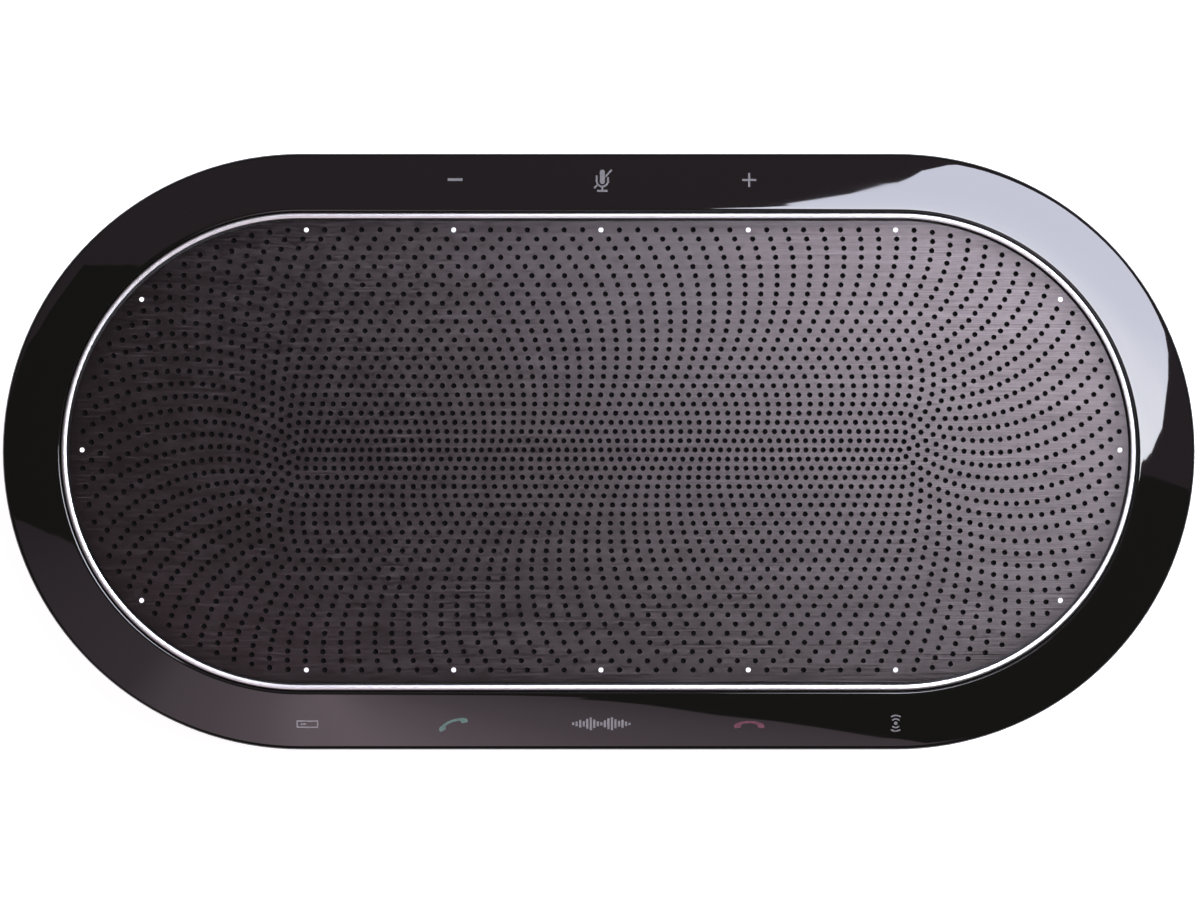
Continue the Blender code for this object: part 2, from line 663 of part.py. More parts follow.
acoustic_cloth = principled("acoustic_cloth", (0.012, 0.012, 0.012), 0.95)
milky_light = principled("milky_light", (0.85, 0.86, 0.88), 0.35)
circuit_board = principled("circuit_board", (0.03, 0.16, 0.07), 0.45)
flex_film = principled("flex_film", (0.55, 0.28, 0.07), 0.4)
label_film = principled("label_film", (0.55, 0.55, 0.56), 0.35)

make_bezel(gloss_black)
make_trim_ring(bright_metal)
make_flat_sheet("grille_plate", GRILLE_R, GRILLE_Z, LIGHT_HOLE_R, brushed_grille)
make_flat_sheet("grille_cloth", CLOTH_R, CLOTH_Z, 1.3, acoustic_cloth)
make_light_guide(milky_light)
make_led_board(circuit_board)
make_touch_board("front_touch_board", -1, 88.0, circuit_board)
make_touch_board("rear_touch_board", 1, 50.0, circuit_board)
make_contactless_antenna(flex_film)
make_chassis(inner_black)
make_lower_housing(matte_black)
make_foot_ring(soft_rubber)
make_rating_label(label_film)
make_housing_screws(plated_steel)
for driver_side in ("left", "right"):
    make_driver(driver_side, {"steel": dark_steel, "plate": plated_steel, "ferrite": ferrite,
                              "spider": spider_cloth, "copper": copper, "cone": paper_cone,
                              "rubber": soft_rubber, "inner": inner_black})
make_microphones(soft_rubber)
make_main_board(circuit_board, plated_steel, circuit_board)
make_sockets(plated_steel, inner_black)
make_lock_plate(plated_steel)
make_power_button(matte_black, inner_black)
make_ribbon("front_ribbon", [(-44.5, 16.6), (-52, 16.6), (-58, 19), (-66.8, 30), (-68, 33),
                             (-68, 54.8), (-69.2, 56.7), (-73, 56.9)], flex_film)
make_ribbon("rear_ribbon", [(19, 16.6), (27, 17.2), (34, 24), (46, 34), (66.4, 38.6),
                            (68, 41), (68, 54.8), (69.2, 56.7), (73, 56.9)], flex_film)
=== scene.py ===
"""Conference speakerphone on a white studio floor, seen from straight above.

X runs along the length, Y from the user's side (-Y) to the sockets (+Y), Z up.
Lengths in the sections are in millimetres; mm() turns them into metres.
"""

import math

import bmesh
import bpy
from mathutils import Matrix, Vector


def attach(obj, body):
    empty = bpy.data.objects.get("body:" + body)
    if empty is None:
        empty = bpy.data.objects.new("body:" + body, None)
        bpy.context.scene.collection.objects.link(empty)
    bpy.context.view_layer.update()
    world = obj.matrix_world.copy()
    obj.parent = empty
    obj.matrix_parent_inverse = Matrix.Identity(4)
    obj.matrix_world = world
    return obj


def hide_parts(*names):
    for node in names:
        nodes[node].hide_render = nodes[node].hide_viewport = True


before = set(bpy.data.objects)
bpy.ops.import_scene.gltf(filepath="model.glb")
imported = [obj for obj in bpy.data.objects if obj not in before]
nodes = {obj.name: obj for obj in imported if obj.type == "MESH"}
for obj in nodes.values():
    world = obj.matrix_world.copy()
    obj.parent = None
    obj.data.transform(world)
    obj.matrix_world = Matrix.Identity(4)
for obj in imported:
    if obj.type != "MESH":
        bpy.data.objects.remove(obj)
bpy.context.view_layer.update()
scene = bpy.context.scene


# ---- Camera -------------------------------------------------------------------------------
# A long lens straight overhead. The picture is as wide as the bezel with a hair to spare.

picture_width = 328.2
picture_plane_z = 58.6
camera_x, camera_y = 0.33, 0.43
camera_lens = 125.0
camera_sensor = 36.0


def mm(*values):
    """Millimetres to metres: one number, or a vector of three."""
    if len(values) == 1:
        return values[0] * 0.001
    return Vector(values) * 0.001


camera_data = bpy.data.cameras.new("overhead_camera")
camera_data.lens = camera_lens
camera_data.sensor_width = camera_sensor
camera = bpy.data.objects.new("overhead_camera", camera_data)
camera_rise = picture_width * camera_lens / camera_sensor
camera.location = mm(camera_x, camera_y, picture_plane_z + camera_rise)
camera_data.clip_start = 0.01
camera_data.clip_end = 100.0
scene.collection.objects.link(camera)
scene.camera = camera
scene.view_settings.view_transform = "Standard"


# ---- Studio -------------------------------------------------------------------------------
# A white floor that glows a little, a large cool softbox up and to the right, a dim warm card
# low at the left front and a faint one behind. The gloss bezel mirrors all three cards, so
# their corners are set by what it should show. They are in metres, on level planes.


class Signal:
    """A number or colour that runs through a finish. Arithmetic on it adds Math nodes."""

    def __init__(self, finish, socket):
        self.finish = finish
        self.socket = socket

    def maths(self, operation, first, second=0.0):
        return self.finish.node("ShaderNodeMath", {"operation": operation},
                                {0: first, 1: second})

    def __add__(self, other):
        return self.maths("ADD", self, other)

    def __sub__(self, other):
        return self.maths("SUBTRACT", self, other)

    def __rsub__(self, other):
        return self.maths("SUBTRACT", other, self)

    def __mul__(self, other):
        return self.maths("MULTIPLY", self, other)

    __radd__ = __add__
    __rmul__ = __mul__


class Finish:
    """A Principled material whose varying inputs are fed by signals."""

    def __init__(self, name, colour, roughness, metallic=0.0, **fixed):
        self.material = bpy.data.materials.new(name)
        self.material.use_nodes = True
        self.tree = self.material.node_tree
        self.shader = self.tree.nodes["Principled BSDF"]
        self.set("Base Color", (*colour, 1.0))
        self.set("Roughness", roughness)
        self.set("Metallic", metallic)
        for socket, value in fixed.items():
            self.set(socket.replace("_", " "), value)

    def set(self, socket, value):
        if isinstance(value, Signal):
            self.tree.links.new(value.socket, self.shader.inputs[socket])
        else:
            self.shader.inputs[socket].default_value = value

    def node(self, kind, settings=None, inputs=None, output=0):
        """Any node: its settings first, then its sockets' values or links."""
        made = self.tree.nodes.new(kind)
        for key, value in (settings or {}).items():
            if key == "stops":
                ramp = made.color_ramp.elements
                while len(ramp) < len(value):
                    ramp.new(0.5)
                for stop, (place, colour) in zip(ramp, value):
                    stop.position = place
                    stop.color = colour
            else:
                setattr(made, key, value)
        for key, value in (inputs or {}).items():
            if isinstance(value, Signal):
                self.tree.links.new(value.socket, made.inputs[key])
            else:
                made.inputs[key].default_value = value
        return Signal(self, made.outputs[output])

    def place(self, stretch=(1.0, 1.0, 1.0)):
        """Object coordinates in metres, stretched before they reach a pattern."""
        where = self.node("ShaderNodeTexCoord", output=3)
        return self.node("ShaderNodeMapping", {}, {"Vector": where, "Scale": stretch})

    def noise(self, scale, detail=3.0, rough=0.55, stretch=(1.0, 1.0, 1.0)):
        return self.node("ShaderNodeTexNoise", {},
                         {"Vector": self.place(stretch), "Scale": scale, "Detail": detail,
                          "Roughness": rough})

    def waves(self, scale, axis):
        """Parallel bands across the X, Y or Z axis."""
        return self.node("ShaderNodeTexWave", {"bands_direction": axis},
                         {"Vector": self.place(), "Scale": scale})

    def span(self, signal, low, high, out_low, out_high):
        """Maps a signal from one range onto another, held at both ends."""
        return self.node("ShaderNodeMapRange", {"clamp": True},
                         {"Value": signal, "From Min": low, "From Max": high,
                          "To Min": out_low, "To Max": out_high})

    def blend(self, mask, first, second):
        """A colour that goes from first to second as the mask goes from 0 to 1."""
        return self.node("ShaderNodeMix", {"data_type": "RGBA"},
                         {0: mask, 6: first if isinstance(first, Signal) else (*first, 1.0),
                          7: second if isinstance(second, Signal) else (*second, 1.0)}, output=2)

    def bump(self, height, depth, strength=1.0):
        """Relief of the given depth in millimetres."""
        relief = self.node("ShaderNodeBump", {},
                           {"Height": height, "Distance": mm(depth), "Strength": strength})
        self.set("Normal", relief)

    def mottle(self, first, second, *pattern):
        """Base colour that wanders between two colours, on a noise of the given make."""
        self.set("Base Color", self.blend(self.noise(*pattern), first, second))

    def scuff(self, low, high, *pattern):
        """Roughness that wanders between two limits, on a noise of the given make."""
        self.set("Roughness", self.span(self.noise(*pattern), 0.3, 0.7, low, high))


softbox_height, warm_card_height, rear_card_height = 1.6, 1.5, 1.7
softbox_corners = [(0.070, 0.150), (0.094, 0.286), (0.118, 0.338), (0.142, 0.419),
                   (0.168, 0.514), (0.197, 0.680), (0.289, 0.938), (0.410, 1.110),
                   (0.62, 1.30), (1.10, 1.36), (1.55, 1.15), (1.62, 0.85), (1.45, 0.63),
                   (1.329, 0.516), (1.244, 0.373), (1.107, 0.240), (0.955, 0.132),
                   (0.849, 0.056), (0.654, -0.001), (0.545, -0.013), (0.36, -0.02),
                   (0.20, 0.02)]
warm_card_corners = [(-1.60, -0.305), (-1.242, -0.253), (-0.935, -0.213), (-0.766, -0.187),
                     (-0.465, -0.116), (-0.25, -0.095), (-0.13, -0.17), (-0.093, -0.232),
                     (-0.062, -0.275), (-0.025, -0.320), (0.007, -0.364), (0.029, -0.415),
                     (0.051, -0.486), (0.077, -0.579), (0.117, -0.676), (0.152, -0.794),
                     (0.201, -0.974), (0.341, -1.126), (0.60, -1.45), (-1.60, -1.60)]
rear_card_corners = [(-2.2, 0.30), (-1.281, 0.490), (-1.107, 0.636), (-1.058, 0.720),
                     (-0.731, 0.508), (-0.525, 0.350), (-0.398, 0.235), (-0.10, 0.06),
                     (0.30, -0.01), (0.713, -0.05), (1.012, -0.09), (2.4, -0.30), (2.4, 2.4),
                     (-2.2, 2.4)]


def place_mesh(name, shape):
    """Makes a drawn shape an object of the scene."""
    mesh = bpy.data.meshes.new(name)
    shape.to_mesh(mesh)
    shape.free()
    placed = bpy.data.objects.new(name, mesh)
    scene.collection.objects.link(placed)
    return placed


def stage_card(name, corners, height, finish):
    """A flat level card over or under the object."""
    shape = bmesh.new()
    shape.faces.new([shape.verts.new((x, y, height)) for x, y in corners])
    card = place_mesh(name, shape)
    card.data.materials.append(finish.material)


def card_place(finish):
    """The level coordinates on a card, in metres."""
    where = finish.node("ShaderNodeTexCoord", output=3)
    return [finish.node("ShaderNodeSeparateXYZ", {}, {0: where}, output=axis) for axis in (0, 1)]


floor_finish = Finish("studio_floor", (0.82, 0.82, 0.82), 0.7,
                      Emission_Color=(1.0, 1.0, 1.0, 1.0), Emission_Strength=0.80)
stage_card("studio_floor", [(-4, -4), (4, -4), (4, 4), (-4, 4)], 0.0, floor_finish)

softbox_finish = Finish("softbox_cloth", (0.0, 0.0, 0.0), 1.0, Specular_IOR_Level=0.0,
                        Emission_Strength=1.0)
across, along = card_place(softbox_finish)
folds = softbox_finish.noise(3.0, 4.0, 0.6, (1.0, 2.6, 1.0))
glow = softbox_finish.span(along + folds * 0.22, 0.1, 0.75, 0.0, 1.0)
softbox_finish.set("Emission Color", softbox_finish.node(
    "ShaderNodeValToRGB", {"stops": ((0.0, (17.0, 17.2, 18.6, 1.0)),
                                     (0.3, (15.0, 15.2, 17.2, 1.0)),
                                     (0.6, (13.4, 13.6, 16.0, 1.0)),
                                     (1.0, (13.0, 13.2, 15.6, 1.0)))}, {0: glow}))
stage_card("softbox", softbox_corners, softbox_height, softbox_finish)

# The warm card fades with the angle about a point near the left end: angle in radians, glow.
warm_card_finish = Finish("warm_card", (0.0, 0.0, 0.0), 1.0, Specular_IOR_Level=0.0,
                          Emission_Strength=3.0)
across, along = card_place(warm_card_finish)
sideways = (across + 0.17) * -1.0
turn = sideways.maths("ARCTAN2", sideways, along * -1.0)
fade = warm_card_finish.span(turn, -0.7, 1.4, 0.0, 1.0)
warm_stops = [(-0.70, 0.20), (-0.38, 0.30), (-0.17, 0.44), (-0.07, 0.63), (0.0, 0.86),
              (0.09, 0.73), (0.17, 0.61), (0.35, 0.48), (0.52, 0.41), (0.66, 0.25),
              (0.80, 0.22), (1.05, 0.19), (1.30, 0.13)]
warm_card_finish.set("Emission Color", warm_card_finish.node(
    "ShaderNodeValToRGB",
    {"stops": [((turned + 0.7) / 2.1, (level, level * 0.79, level * 0.91, 1.0))
               for turned, level in warm_stops]}, {0: fade}))
stage_card("warm_card", warm_card_corners, warm_card_height, warm_card_finish)

rear_card_finish = Finish("rear_card", (0.0, 0.0, 0.0), 1.0, Specular_IOR_Level=0.0,
                          Emission_Color=(0.35, 0.26, 0.295, 1.0), Emission_Strength=1.0)
stage_card("rear_card", rear_card_corners, rear_card_height, rear_card_finish)

world = bpy.data.worlds.new("studio_air")
world.use_nodes = True
world.node_tree.nodes["Background"].inputs["Color"].default_value = (1.0, 0.98, 0.74, 1.0)
world.node_tree.nodes["Background"].inputs["Strength"].default_value = 0.115
scene.world = world


# ---- Bezel --------------------------------------------------------------------------------
# One moulding of gloss black plastic, polished to a mirror. Its top is gently domed and its
# outer edge turns down into a short skirt.

spine_half = 81.5
crown_r, crown_z = 67.0, 62.4
dome_edge_r = 80.4
dome_slope_in = math.tan(math.radians(3.0))
dome_slope_out = math.tan(math.radians(16.0))
dome_growth = (dome_slope_out - dome_slope_in) / (2 * (dome_edge_r - crown_r))
bezel_wall = 2.2
end_steps = 72


def dome_z(radius):
    """Height of the bezel's top at a distance from the spine."""
    out = radius - crown_r
    return crown_z - dome_slope_in * out - dome_growth * out * out


def arc(centre, radius, start, end, steps):
    """Points of a rounded corner in a section, from one angle to another in degrees."""
    return [(centre[0] + radius * math.cos(math.radians(start + (end - start) * i / steps)),
             centre[1] + radius * math.sin(math.radians(start + (end - start) * i / steps)))
            for i in range(steps + 1)]


def sweep_stadium(shape, section, closed=True, steps=end_steps):
    """Carries a section of (distance from the spine, height) once round the stadium."""
    ring = [shape.verts.new(mm(spine_half, -r, z)) for r, z in section]
    edges = [shape.edges.new(pair) for pair in zip(ring, ring[1:])]
    if closed:
        edges.append(shape.edges.new((ring[-1], ring[0])))
    for end in (spine_half, -spine_half):
        turned = bmesh.ops.spin(shape, geom=edges, cent=mm(end, 0, 0), axis=(0, 0, 1),
                                angle=math.pi, steps=steps, use_duplicate=False)
        edges = [e for e in turned["geom_last"] if isinstance(e, bmesh.types.BMEdge)]
        drawn = bmesh.ops.extrude_edge_only(shape, edges=edges)["geom"]
        edges = [e for e in drawn if isinstance(e, bmesh.types.BMEdge)]
        bmesh.ops.translate(shape, verts=[v for v in drawn if isinstance(v, bmesh.types.BMVert)],
                            vec=mm(-2 * end, 0, 0))
    bmesh.ops.remove_doubles(shape, verts=shape.verts, dist=1e-6)
    if not closed:
        bmesh.ops.holes_fill(shape, edges=[e for e in shape.edges if e.is_boundary], sides=0)
    bmesh.ops.recalc_face_normals(shape, faces=shape.faces)


def add_piece(name, shape, finish, body="body", replaced=(), sharp=35.0):
    """Makes the piece, in its place, and fixes it to the body that carries it."""
    piece = place_mesh(name, shape)
    piece.data.materials.append(finish.material)
    piece.data.shade_smooth()
    piece.data.set_sharp_from_angle(angle=math.radians(sharp))
    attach(piece, body)
    if replaced:
        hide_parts(*replaced)
    return piece


def thicken(shape, shift):
    """Turns a flat patch into a slab by drawing a copy of its faces along the shift."""
    drawn = bmesh.ops.extrude_face_region(shape, geom=shape.faces[:], use_keep_orig=True)
    moved = [v for v in drawn["geom"] if isinstance(v, bmesh.types.BMVert)]
    bmesh.ops.translate(shape, verts=moved, vec=shift)
    return moved


def carve(piece, cutter, operation="DIFFERENCE"):
    """Cuts or adds a drawn shape and keeps the result as the piece's own mesh."""
    bmesh.ops.recalc_face_normals(cutter, faces=cutter.faces)
    tool = place_mesh("tool", cutter)
    modifier = piece.modifiers.new("carve", "BOOLEAN")
    modifier.operation = operation
    modifier.solver = "EXACT"
    modifier.object = tool
    graph = bpy.context.evaluated_depsgraph_get()
    result = bpy.data.meshes.new_from_object(piece.evaluated_get(graph))
    old = piece.data
    piece.modifiers.remove(modifier)
    piece.data = result
    result.name = old.name
    bpy.data.meshes.remove(old)
    bpy.data.objects.remove(tool)
    result.shade_smooth()
    result.set_sharp_from_angle(angle=math.radians(35.0))


gloss_black = Finish("gloss_black_plastic", (0.002, 0.002, 0.002), 0.03, IOR=1.52)
gloss_black.scuff(0.018, 0.034, 60.0, 4.0)
gloss_black.mottle((0.0015, 0.0015, 0.0015), (0.0023, 0.0022, 0.0022), 900.0)

bezel_shape = bmesh.new()
bezel_section = [(65.8, 58.4), (65.8, 60.2), (65.35, 60.3), (65.35, 61.9)]
bezel_section += arc((65.95, 61.85), 0.6, 178, 94, 8)
bezel_section += [(66.5, dome_z(67.0) + 0.035), (67.0, dome_z(67.0))]
bezel_section += [(r, dome_z(r)) for r in [67.6 + 0.6525 * i for i in range(21)]]
bezel_section += arc((80.315, 58.903), 1.185, 70, 0, 9)
bezel_section += [(81.4, 56.0), (81.16, 52.6), (80.9, 52.15), (80.6, 52.0), (79.4, 52.0),
                  (79.15, 52.2), (79.3, 57.4)]
bezel_section += [(r, dome_z(r) - bezel_wall) for r in (77.8, 75.0, 71.5, 67.8)]
bezel_section += [(67.8, 58.4)]
sweep_stadium(bezel_shape, bezel_section)
add_piece("bezel_surround", bezel_shape, gloss_black, replaced=["bezel"])


# ---- Touch marks --------------------------------------------------------------------------
# Small windows moulded into the bezel over the touch boards, in pale grey, green and red.
# They follow the dome and stand 0.03 mm proud. The row of bars and the dots are plain shapes.

mark_row = 74.2
mark_depth, mark_rise = 0.25, 0.03


def window_tint(name, dim, bright):
    """Tinted plastic, polished with the bezel, its tone wandering a little at random."""
    tint = Finish(name, bright, 0.05, IOR=1.52)
    tint.set("Base Color", tint.blend(tint.span(tint.noise(700.0, 2.0), 0.35, 0.65, 0.0, 1.0),
                                      dim, bright))
    tint.scuff(0.04, 0.09, 400.0)
    return tint


pale_tint = window_tint("pale_window", (0.135, 0.135, 0.137), (0.165, 0.165, 0.168))
green_tint = window_tint("green_window", (0.038, 0.095, 0.076), (0.056, 0.124, 0.100))
red_tint = window_tint("red_window", (0.080, 0.022, 0.032), (0.115, 0.036, 0.050))


def draw_patch(shape, outline, centre, turn=0.0):
    """One flat patch of a mark, drawn about its own centre and turned anticlockwise."""
    c, s = math.cos(math.radians(turn)), math.sin(math.radians(turn))
    shape.faces.new([shape.verts.new((centre[0] + x * c - y * s, centre[1] + x * s + y * c, 0))
                     for x, y in outline])


def bar(width, height, x=0.0, y=0.0):
    return [(x - width / 2, y - height / 2), (x + width / 2, y - height / 2),
            (x + width / 2, y + height / 2), (x - width / 2, y + height / 2)]


def band(inner, outer, start, end, steps=12):
    """A part of a flat ring, between two angles."""
    return arc((0, 0), outer, start, end, steps) + arc((0, 0), inner, end, start, steps)


def add_marks(name, shape, tint):
    """Gives the flat patches their depth and lays them on the dome."""
    thicken(shape, (0, 0, 1))
    for step in range(-6, 7):
        for side in (-1, 1):
            bmesh.ops.bisect_plane(shape, geom=shape.verts[:] + shape.edges[:] + shape.faces[:],
                                   plane_co=(0, side * (mark_row + 0.6 * step), 0),
                                   plane_no=(0, 1, 0))
    for vert in shape.verts:
        vert.co = mm(vert.co.x, vert.co.y,
                     dome_z(abs(vert.co.y)) + (mark_rise if vert.co.z > 0.5 else -mark_depth))
    bmesh.ops.recalc_face_normals(shape, faces=shape.faces)
    add_piece(name, shape, tint)


# Minus, muted microphone and plus, along the rear edge.
minus_mark = bmesh.new()
draw_patch(minus_mark, bar(4.05, 0.74), (-39.2, 74.2))
add_marks("volume_down_mark", minus_mark, pale_tint)

plus_mark = bmesh.new()
cross = [(0.29, 0.29), (0.29, 1.92), (-0.29, 1.92)]
quarter_turns = ((1, 0), (0, 1), (-1, 0), (0, -1))
draw_patch(plus_mark, [(x * c - y * s, x * s + y * c) for c, s in quarter_turns
                       for x, y in cross], (41.0, 74.1))
add_marks("volume_up_mark", plus_mark, pale_tint)

mute_mark = bmesh.new()
mute_centre = (0.97, 74.95)
draw_patch(mute_mark, arc((0, 1.3), 0.69, 0, 180, 10) + arc((0, -1.3), 0.69, 180, 360, 10),
           mute_centre)
draw_patch(mute_mark, [(-1.8, 0.4)] + arc((0, -1.1), 1.8, 180, 360, 16)
           + [(1.8, -0.1), (1.32, -0.1)] + arc((0, -1.1), 1.32, 360, 180, 16) + [(-1.32, 0.4)],
           mute_centre)
draw_patch(mute_mark, bar(0.42, 0.72, 0.0, -3.24), mute_centre)
draw_patch(mute_mark, bar(2.9, 0.56, 0.0, -3.86), mute_centre)
draw_patch(mute_mark, [(-2.45, -2.95), (-2.05, -3.3), (-1.28, -2.5), (-1.62, -2.1)], mute_centre)
draw_patch(mute_mark, [(0.86, 0.46), (0.86, -0.24), (2.73, 1.75), (2.37, 2.1)], mute_centre)
add_marks("mute_mark", mute_mark, pale_tint)

# Receivers: one drawn outline, level and red to end a call, raised and green to take one.
half_receiver = [(4.15, -0.42), (3.98, 0.02), (3.4, 0.42), (2.3, 0.8), (1.15, 1.0)]
under_receiver = [(4.05, -0.86), (3.8, -1.02), (2.5, -0.84), (2.24, -0.62), (2.2, -0.06),
                  (1.5, 0.24), (0.75, 0.38)]
receiver = (half_receiver + [(0.0, 1.06)] + [(-x, y) for x, y in half_receiver[::-1]]
            + [(-x, y) for x, y in under_receiver] + [(0.0, 0.42)] + under_receiver[::-1])
take_call = bmesh.new()
draw_patch(take_call, receiver, (-39.8, -74.2), 20.4)
add_marks("take_call_mark", take_call, green_tint)
end_call = bmesh.new()
draw_patch(end_call, receiver, (41.05, -74.5))
add_marks("end_call_mark", end_call, red_tint)

# A row of sound-level bars in the middle of the front edge.
level_heights = (0.7, 1.3, 2.1, 1.5, 2.7, 3.5, 2.3, 1.4, 0.9, 1.9, 3.0, 3.5, 2.5, 1.6, 2.2, 1.2,
                 0.7)
level_step, level_middle = 0.96, len(level_heights) // 2
level_marks = bmesh.new()
for k, height in enumerate(level_heights):
    draw_patch(level_marks, bar(0.6, height), (0.7 + level_step * (k - level_middle), -74.25))
add_marks("sound_level_marks", level_marks, pale_tint)

# A blank card outline over the antenna, and waves spreading from a dot over the radio.
tap_mark = bmesh.new()
tap_centre = (-79.5, -74.35)
card = [(2.95, 1.02), (-2.95, 1.02), (-2.95, -1.02), (2.95, -1.02)]
for k in range(4):
    (x0, y0), (x1, y1) = card[k], card[(k + 1) % 4]
    draw_patch(tap_mark, [(x0, y0), (x1, y1), (x1 * 0.88, y1 * 0.66), (x0 * 0.88, y0 * 0.66)],
               tap_centre)
draw_patch(tap_mark, bar(1.5, 0.34, -1.1, 0.0), tap_centre)
add_marks("tap_here_mark", tap_mark, pale_tint)

wave_mark = bmesh.new()
wave_centre = (81.0, -74.1)
draw_patch(wave_mark, arc((0, 0), 0.5, 0, 330, 11), wave_centre)
for side in (90, 270):
    draw_patch(wave_mark, band(1.0, 1.4, side - 50, side + 50), wave_centre)
    draw_patch(wave_mark, band(1.95, 2.35, side - 36, side + 36), wave_centre)
add_marks("radio_wave_mark", wave_mark, pale_tint)


# ---- Trim ring ----------------------------------------------------------------------------
# A bright satin metal ring pressed between the bezel and the grille, with eased edges.

satin_metal = Finish("bright_satin_metal", (0.50, 0.50, 0.50), 0.34, 1.0)
satin_metal.scuff(0.33, 0.37, 900.0, 2.0)
ring_shape = bmesh.new()
ring_section = [(63.5, 60.1), (63.5, 62.1)] + arc((63.8, 62.2), 0.3, 180, 97, 5)
ring_section += [(64.1, 62.54), (64.45, 62.59), (64.75, 62.56), (64.94, 62.46), (65.07, 62.25),
                 (65.15, 61.95), (65.2, 61.5), (65.2, 60.1)]
sweep_stadium(ring_shape, ring_section)
add_piece("bright_trim_ring", ring_shape, satin_metal, replaced=["trim_ring"])


# ---- Grille -------------------------------------------------------------------------------
# Punched aluminium sheet, brushed lengthways and anodised dark, with painted shade darkening it
# towards its edge by the trim ring.
# Twenty-four rows of 140 holes run parallel to the edge, with a last row along the spine. Each
# row starts a little further round, on an arc; sixteen holes of the outer row carry lights.

grille_r = 63.0
grille_low, grille_top = 60.8, 62.0
row_r, row_step, row_count = 60.0, 2.5, 24
row_holes = 140
swirl_radius = 45.0
light_places = (0, 8, 16, 26, 35, 44, 54, 62, 70, 78, 86, 96, 105, 114, 124, 132)
sound_hole_r = 0.74
light_hole_r = 0.68
pattern_shift = (0.6, 0.45)


def along_row(radius, distance):
    """The point at a distance clockwise from the rear middle, on the row at that radius."""
    half, bend = spine_half, math.pi * radius
    distance %= 4 * half + 2 * bend
    if distance < half:
        return distance, radius
    if distance < half + bend:
        turn = (distance - half) / radius
        return half + radius * math.sin(turn), radius * math.cos(turn)
    if distance < 3 * half + bend:
        return 2 * half + bend - distance, -radius
    if distance < 3 * half + 2 * bend:
        turn = (distance - 3 * half - bend) / radius
        return -half - radius * math.sin(turn), -radius * math.cos(turn)
    return distance - 4 * half - 2 * bend, radius


def row_place(row, number):
    """Where a hole of a row is. The first hole of each row lies on an arc across the sheet."""
    radius = row_r - row_step * row
    length = 4 * spine_half + 2 * math.pi * radius
    lag = math.sqrt(swirl_radius ** 2 - (radius - row_r / 2) ** 2)
    lag -= math.sqrt(swirl_radius ** 2 - (row_r / 2) ** 2)
    x, y = along_row(radius, lag + length * number / row_holes)
    return x + pattern_shift[0], y + pattern_shift[1]


def draw_loop(shape, points):
    loop = [shape.verts.new(mm(x, y, z)) for x, y, z in points]
    for pair in zip(loop, loop[1:] + loop[:1]):
        shape.edges.new(pair)


def draw_hole(shape, place, radius, z, sides=12):
    draw_loop(shape, [(place[0] + radius * math.cos(2 * math.pi * i / sides),
                       place[1] + radius * math.sin(2 * math.pi * i / sides), z)
                      for i in range(sides)])


def stadium_outline(radius, z, steps=end_steps):
    return [(side * (spine_half + radius * math.cos(turn)), side * radius * math.sin(turn), z)
            for side in (1, -1)
            for turn in [-math.pi / 2 + math.pi * i / steps for i in range(steps + 1)]]


light_spots = [row_place(0, k) for k in light_places]
sound_spots = [row_place(row, k) for row in range(row_count) for k in range(row_holes)
               if row or k not in light_places]
sound_spots += [(4 * spine_half * k / row_holes + pattern_shift[0], pattern_shift[1])
                for k in range(-35, 36)]

dark_grille = Finish("dark_brushed_aluminium", (0.045, 0.041, 0.043), 0.2, 1.0)
brushing = dark_grille.noise(1.0, 5.0, 0.7, (14.0, 5200.0, 1.0))
broad = dark_grille.noise(1.0, 3.0, 0.6, (5.0, 420.0, 1.0))
dark_grille.set("Roughness", dark_grille.span(brushing, 0.25, 0.75, 0.135, 0.20))
anodised = dark_grille.blend(dark_grille.span(brushing * 0.6 + broad * 0.4, 0.35, 0.65, 0.0, 1.0),
                             (0.037, 0.0315, 0.0320), (0.055, 0.0480, 0.0495))
# Painted shade: the base colour sinks towards black over the last 8.5 mm before the edge, standing
# in for the shadow cast by the trim ring.
across, along = card_place(dark_grille)
past_end = across.maths("MAXIMUM", across.maths("ABSOLUTE", across, 0.0) - mm(spine_half), 0.0)
from_spine = across.maths("POWER", past_end * past_end + along * along, 0.5)
painted_edge_shade = dark_grille.span(from_spine, mm(54.5), mm(63.0), 0.0, 1.0)
dark_grille.set("Base Color", dark_grille.blend(painted_edge_shade * painted_edge_shade * 0.42, anodised,
                                                (0.002, 0.002, 0.002)))
dark_grille.bump(brushing, 0.037, 1.0)

sheet = bmesh.new()
draw_loop(sheet, stadium_outline(grille_r - 0.1, grille_low))
for spot in sound_spots:
    draw_hole(sheet, spot, sound_hole_r, grille_low)
for spot in light_spots:
    draw_hole(sheet, spot, light_hole_r, grille_low, 20)
bmesh.ops.triangle_fill(sheet, use_beauty=True, use_dissolve=False, edges=sheet.edges[:])
thicken(sheet, mm(0, 0, grille_top - grille_low))
bmesh.ops.recalc_face_normals(sheet, faces=sheet.faces)
add_piece("perforated_grille", sheet, dark_grille, replaced=["grille_plate"],
          sharp=30.0)


# ---- Light guide --------------------------------------------------------------------------
# A ring of milky plastic under the sheet. Its sixteen pins come up flush with the metal and
# show as white points.

milky = Finish("milky_plastic", (0.9, 0.9, 0.92), 0.35, Emission_Color=(0.95, 0.97, 1.0, 1.0),
               Emission_Strength=0.3)
milky.scuff(0.3, 0.42, 500.0)
guide_shape = bmesh.new()
sweep_stadium(guide_shape, [(58.4, 57.0), (58.4, 59.8), (61.6, 59.8), (61.6, 57.0)], steps=48)
guide = add_piece("light_guide_ring", guide_shape, milky, replaced=["light_guide"])
pin_r, pin_length, pin_middle = 0.62, 3.2, 60.38
pins = bmesh.new()
for x, y in light_spots:
    bmesh.ops.create_cone(pins, cap_ends=True, segments=20, radius1=mm(pin_r), radius2=mm(pin_r),
                          depth=mm(pin_length), matrix=Matrix.Translation(mm(x, y, pin_middle)))
carve(guide, pins, "UNION")


